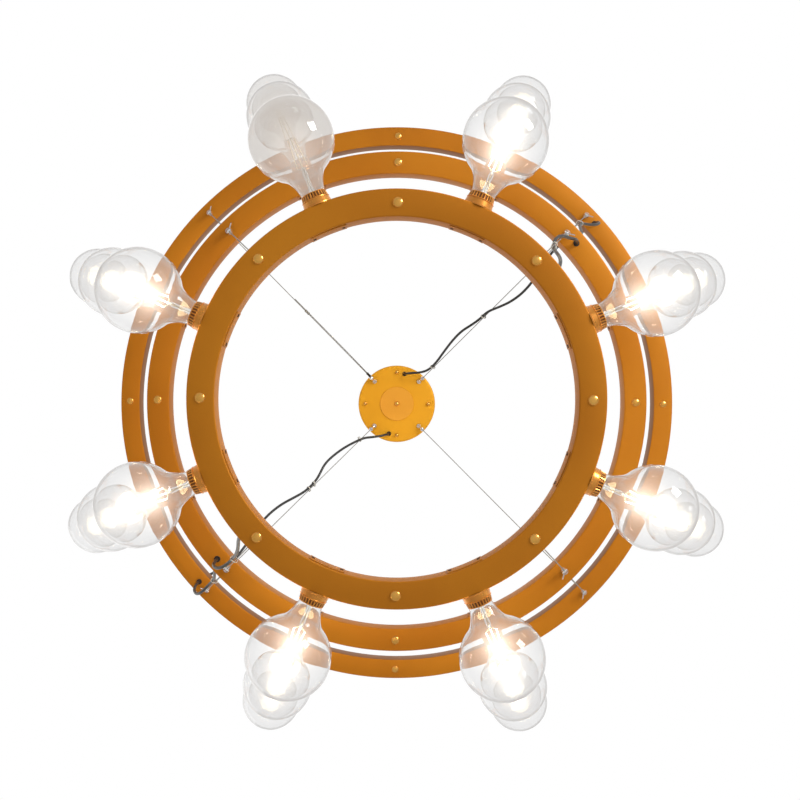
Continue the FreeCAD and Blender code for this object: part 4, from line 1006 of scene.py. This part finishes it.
cableRoutes = {
    "upper_cable_a": [
        (69.3, -41, -21), (69.3, -41, -45), (82, -30, -62), (101, -13, -69), (120, -4, -70.5),
        (146, -4, -92), (174, -9, -121), (206, -14, -153), (238, -15, -182), (266, -8, -198),
        (288, -4, -209.5), (312, -4, -229.5), (336, 8, -254), (362, 19, -279), (394, 24, -306),
        (430, 20, -336), (466, 9, -363), (502, 3, -388), (534, 9, -406), (562, 19, -419), (579.5, 25, -440),
        (579.5, 25, -463),
    ],
    "upper_cable_b": [
        (69.3, -41, -21), (69.3, -41, -45), (83, -33.5, -61), (104, -18, -69), (122, -3, -73),
        (146, 6, -92), (172, 14, -121), (204, 19, -152), (232, 19, -174), (256, 10, -187), (276, 4, -199.5),
        (308, 4, -226), (334, 12, -250), (364, 22, -279), (398, 26, -308), (436, 22, -341), (474, 11, -370),
        (510, 6, -393), (540, 11, -409), (564, 19, -421), (579.5, 25, -441), (579.5, 25, -463),
    ],
    "middle_cable_a": [
        (579.5, 25, -478), (579.5, 25, -502), (580, 29, -524), (573, 32, -545), (560, 28, -566),
        (546, 18, -585), (535, 9, -602), (528, 4.8, -622), (518.5, 4.8, -645), (506, 9, -676),
        (494, 16, -714), (479, 22, -752), (461, 27, -788), (441, 28, -817), (429.3, 25, -841),
        (429.3, 25, -863),
    ],
    "middle_cable_b": [
        (579.5, 25, -478), (579.5, 25, -502), (584, 24, -526), (587, 18, -548), (583, 9, -569),
        (571, 5, -587), (555, 4, -602), (537, 4.6, -616), (523, 4.8, -635), (513.5, 4.8, -658),
        (501, 8, -690), (487, 14, -727), (471, 20, -762), (451, 25, -796), (435, 26, -823),
        (429.3, 25, -843), (429.3, 25, -863),
    ],
    "lower_cable_a": [
        (429.3, 25, -878), (429.3, 25, -903), (426, 20, -926), (414, 9, -947), (406, 1, -967),
        (395, -5, -987), (381, -6, -1007), (368, 0, -1027), (359.5, 3.5, -1049), (352, 12, -1081),
        (343, 21, -1117), (330, 28, -1153), (312, 32, -1187), (291, 30, -1216), (278.9, 25, -1240),
        (278.9, 25, -1263),
    ],
    "lower_cable_b": [
        (429.3, 25, -878), (429.3, 25, -903), (434, 23, -924), (431, 15, -945), (419, 8, -963),
        (403, 5, -978), (389, 4.8, -993), (379.5, 4.8, -1015), (367, 6, -1044), (354, 9, -1076),
        (342, 13, -1110), (329, 18, -1147), (312, 22, -1182), (293, 25, -1212), (278.9, 25, -1240),
        (278.9, 25, -1263),
    ],
}
cableSettings = {
    "radius": 3 * mm, "sides": 3, "resolution": 6,
    "lengths": {
        "upper_cable_a": 0.717, "upper_cable_b": 0.720, "middle_cable_a": 0.427,
        "middle_cable_b": 0.434, "lower_cable_a": 0.429, "lower_cable_b": 0.428,
    },
}


def cablePoints(name):
    side = -1 if name.endswith("_b") else 1
    along = Vector((side, -side, 0)) * math.sqrt(0.5)
    across = Vector((side, side, 0)) * math.sqrt(0.5)
    return [
        along * (ahead * mm) + across * (aside * mm) + zAxis * (height * mm)
        for ahead, aside, height in cableRoutes[name]
    ]


def lineLength(points):
    return sum((second - first).length for first, second in zip(points, points[1:]))


def makeCableCurve(name):
    # the cable as a bevelled spline, and the points of the bare line
    look = cableSettings
    data = bpy.data.curves.new(name + "_line", "CURVE")
    data.dimensions = "3D"
    controls = cablePoints(name)
    spline = data.splines.new("NURBS")
    spline.points.add(len(controls) - 1)
    for target, control in zip(spline.points, controls):
        target.co = (*control, 1)
    spline.order_u = 3
    spline.use_endpoint_u = True
    spline.resolution_u = look["resolution"]
    curve = bpy.data.objects.new(name + "_line", data)
    bpy.context.scene.collection.objects.link(curve)
    bare = bpy.data.meshes.new_from_object(curve)
    line = [vertex.co.copy() for vertex in bare.vertices]
    bpy.data.meshes.remove(bare)
    data.bevel_depth = look["radius"]
    data.bevel_resolution = look["sides"]
    data.use_fill_caps = True
    print(name, "line", round(lineLength(line), 4))
    return curve, line


def makeRidingCable(name):
    curve, line = makeCableCurve(name)
    curve.name = name + "_sheath"
    curve.data.materials.append(materials["cableSheath"])
    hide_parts(name)
    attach(curve, "tiers")


def makeCanopyCable(name):
    # a tube along the spline, split in two where the chandelier sways
    curve, line = makeCableCurve(name)
    tube = bpy.data.meshes.new_from_object(curve)
    bpy.data.objects.remove(curve)
    work = bmesh.new()
    work.from_mesh(tube)
    bpy.data.meshes.remove(tube)
    bmesh.ops.remove_doubles(work, verts=work.verts[:], dist=1e-6)
    level = swayBend["middle"]
    cut = next(index for index, point in enumerate(line) if point.z < level)
    before, after = line[cut - 1], line[cut]
    middle = before.lerp(after, (before.z - level) / (before.z - after.z))
    names = (name + "_start", name + "_sheath")
    pieces = blendHalves(names, work, "cableSheath", middle, (after - before).normalized())
    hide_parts(name)


for cableName in cableRoutes:
    makeCable = makeCanopyCable if cableName.startswith("upper") else makeRidingCable
    makeCable(cableName)
print("stage: cables")


# Cable ties: the bands as they lie in the frame, with a square head on each

tieSettings = {"head": (2.6 * mm, 2.2 * mm, 2.2 * mm), "headPlace": 0.75, "bevel": 0.25 * mm}


def islands(work):
    # groups of joined vertices
    left = set(work.verts)
    found = []
    while left:
        group, waiting = [], [left.pop()]
        while waiting:
            vert = waiting.pop()
            group.append(vert)
            joined = {edge.other_vert(vert) for edge in vert.link_edges} & left
            left -= joined
            waiting.extend(joined)
        found.append(group)
    return found


def tieMesh(node):
    look = tieSettings
    work = bmesh.new()
    work.from_mesh(frame["nodes"][node].data)
    bmesh.ops.remove_doubles(work, verts=work.verts[:], dist=1e-5)
    bands = []
    for group in islands(work):
        centre = sum((vert.co for vert in group), Vector()) / len(group)
        bands.append((centre, max((vert.co - centre).length for vert in group)))
    for centre, reach in bands:
        made = bmesh.ops.create_cube(work, size=1)["verts"]
        bmesh.ops.scale(work, vec=look["head"], verts=made)
        inward = Vector((-centre.x, -centre.y, 0)).normalized()
        sideways = inward.cross(zAxis)
        place = alongAxis(centre + sideways * reach * look["headPlace"], sideways)
        bmesh.ops.transform(work, matrix=place, verts=made)
        bevelEdges(work, list({edge for vert in made for edge in vert.link_edges}), look["bevel"])
    return work


def makeTies():
    upper = addPiece("canopy_cable_ties", tieMesh("upper_cable_ties"), "clearNylon", 35,
                     "upper_cable_ties")
    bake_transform(upper)
    addPiece("ring_cable_ties", tieMesh("lower_cable_ties"), "clearNylon", 35,
             "lower_cable_ties", "tiers")


makeTies()
print("stage: ties")


# Nodes of the frame: the kept ones get their finish and eased edges, the replaced ones a finish alone

keptNodes = {
    "ceiling_plate": "zincSteel", "canopy_studs": "zincSteel", "terminal_block": "blackPlastic",
    "canopy_bushings": "blackRubber", "cable_grommets": "blackRubber", "ring_wiring": "wiringSheath",
    "upper_lampholders": "blackPlastic", "middle_lampholders": "blackPlastic",
    "lower_lampholders": "blackPlastic",
}
slotFinishes = {
    "canopy_gold": "canopyGold", "ring_gold": "ringGold", "cup_gold": "cupGold",
    "polished_brass": "polishedBrass", "chrome_fittings": "chrome", "steel_wire": "steelRope",
    "zinc_steel": "zincSteel",
    "black_plastic": "blackPlastic", "black_rubber": "blackRubber", "black_cable": "cableSheath",
    "lamp_wiring": "wiringSheath", "clear_nylon": "clearNylon", "bulb_glass": "bulbGlass",
}
easeSettings = {"weld": 0.01 * mm, "width": 0.25 * mm, "segments": 2, "angle": 50}
slotOfNode = {part["node"]: part["material_slot"] for part in frame["record"]["subparts"]}


def dressNodes():
    look = easeSettings
    for name, node in frame["nodes"].items():
        node.data.materials.clear()
        node.data.materials.append(materials[keptNodes.get(name) or slotFinishes[slotOfNode[name]]])
        if name in keptNodes:
            weld = node.modifiers.new("weld", "WELD")
            weld.merge_threshold = look["weld"]
            ease = node.modifiers.new("ease", "BEVEL")
            ease.width = look["width"]
            ease.segments = look["segments"]
            ease.limit_method = "ANGLE"
            ease.angle_limit = math.radians(look["angle"])


dressNodes()
print("stage: kept nodes")


# Studio: pale floor, white behind, soft light, and the glow of the lamps

studio = {
    "floor": -3.05, "floorSize": 14, "floorColour": (0.80, 0.80, 0.79), "floorShade": 0.97,
    "floorClouds": 1.5, "floorRoughness": 0.8, "world": 0.47, "worldColour": (1, 0.985, 0.96), "sides": 0.30, "mirrored": 0.65,
    "greyHeight": 0.70, "whiteHeight": 0.90, "lamp": 0.8, "lampSize": 0.03, "lampColour": (1, 0.78, 0.42),
}
panels = (
    {"name": "key", "place": (2.2, -1.6, -2.4), "power": 56, "size": 1, "target": (0, 0, -0.9)},
    {"name": "fill", "place": (-2.4, 1.8, 1.2), "power": 12, "size": 2.5, "target": (0, 0, -0.7)},
)


def makeFloor():
    look = studio
    work = bmesh.new()
    bmesh.ops.create_grid(work, x_segments=1, y_segments=1, size=look["floorSize"] / 2)
    bmesh.ops.translate(work, vec=(0, 0, look["floor"]), verts=work.verts[:])
    mesh = bpy.data.meshes.new("floor")
    work.to_mesh(mesh)
    work.free()
    material, tree, shader = newMaterial("floor")
    shade = [look["floorShade"] * value for value in look["floorColour"]]
    colour = mixColours(tree, addNoise(tree, look["floorClouds"]), opaque(look["floorColour"]), opaque(shade))
    setInputs(tree, shader, {"Base Color": colour, "Roughness": look["floorRoughness"]})
    mesh.materials.append(material)
    floor = bpy.data.objects.new("floor", mesh)
    bpy.context.scene.collection.objects.link(floor)


def makeWorld():
    # lit evenly; straight looks and the glass see white, mirrors see white overhead and grey at the sides
    world = bpy.data.worlds.new("studio")
    world.use_nodes = True
    tree = world.node_tree
    light = tree.nodes["Background"]
    setInputs(tree, light, {"Color": opaque(studio["worldColour"]), "Strength": studio["world"]})
    rays = addNode(tree, "LightPath")
    sides = addRange(tree, rays["Is Glossy Ray"], toMin=studio["sides"], toMax=studio["mirrored"])
    direction = addNode(tree, "TexCoord")["Generated"]
    height = addNode(tree, "SeparateXYZ", {"Vector": direction})["Z"]
    heights = {"fromMin": studio["greyHeight"], "fromMax": studio["whiteHeight"]}
    overhead = addRange(tree, height, toMin=sides, **heights)
    level = addMath(tree, "MAXIMUM", overhead, rays["Is Camera Ray"])
    white = addNode(tree, "Background", {"Color": level, "Strength": 1})["Background"]
    seen = addMath(tree, "MAXIMUM", rays["Is Camera Ray"], rays["Is Glossy Ray"])
    allSeen = addMath(tree, "MAXIMUM", seen, rays["Is Transmission Ray"])
    mixed = addNode(tree, "MixShader", {"Fac": allSeen, 1: light.outputs["Background"], 2: white})["Shader"]
    setInputs(tree, tree.nodes["World Output"], {"Surface": mixed})
    bpy.context.scene.world = world


def addLight(name, kind, place, power):
    data = bpy.data.lights.new(name, kind)
    data.energy = power
    light = bpy.data.objects.new(name, data)
    bpy.context.scene.collection.objects.link(light)
    light.location = place
    light.visible_transmission = False  # lamps and panels aren't seen through the glass
    return light


def makeLights():
    for look in panels:
        panel = addLight(look["name"], "AREA", look["place"], look["power"])
        panel.data.size = look["size"]
        towards = Vector(look["target"]) - Vector(look["place"])
        panel.rotation_euler = towards.to_track_quat("-Z", "Y").to_euler()
    filament = bulbSettings["seat"] + bulbSettings["stemLength"] + bulbSettings["stickLength"] / 2
    for tier in tiers:
        for number, angle in enumerate(lampAngles, start=1):
            if f"{tier['name']}_bulb_{number}" in unlitBulbs:
                continue
            place = around(tier["radius"] + filament, angle, tier["middle"])
            lamp = addLight(f"glow_{tier['name']}_{number}", "POINT", place, studio["lamp"])
            lamp.data.shadow_soft_size = studio["lampSize"]
            lamp.data.color = studio["lampColour"]


makeFloor()
makeWorld()
makeLights()
scene = bpy.context.scene
scene.view_settings.view_transform = "Standard"
scene.cycles.max_bounces = 32
scene.cycles.transmission_bounces = 28
scene.cycles.transparent_max_bounces = 32
scene.cycles.caustics_reflective = False
scene.cycles.caustics_refractive = False
print("stage: studio")
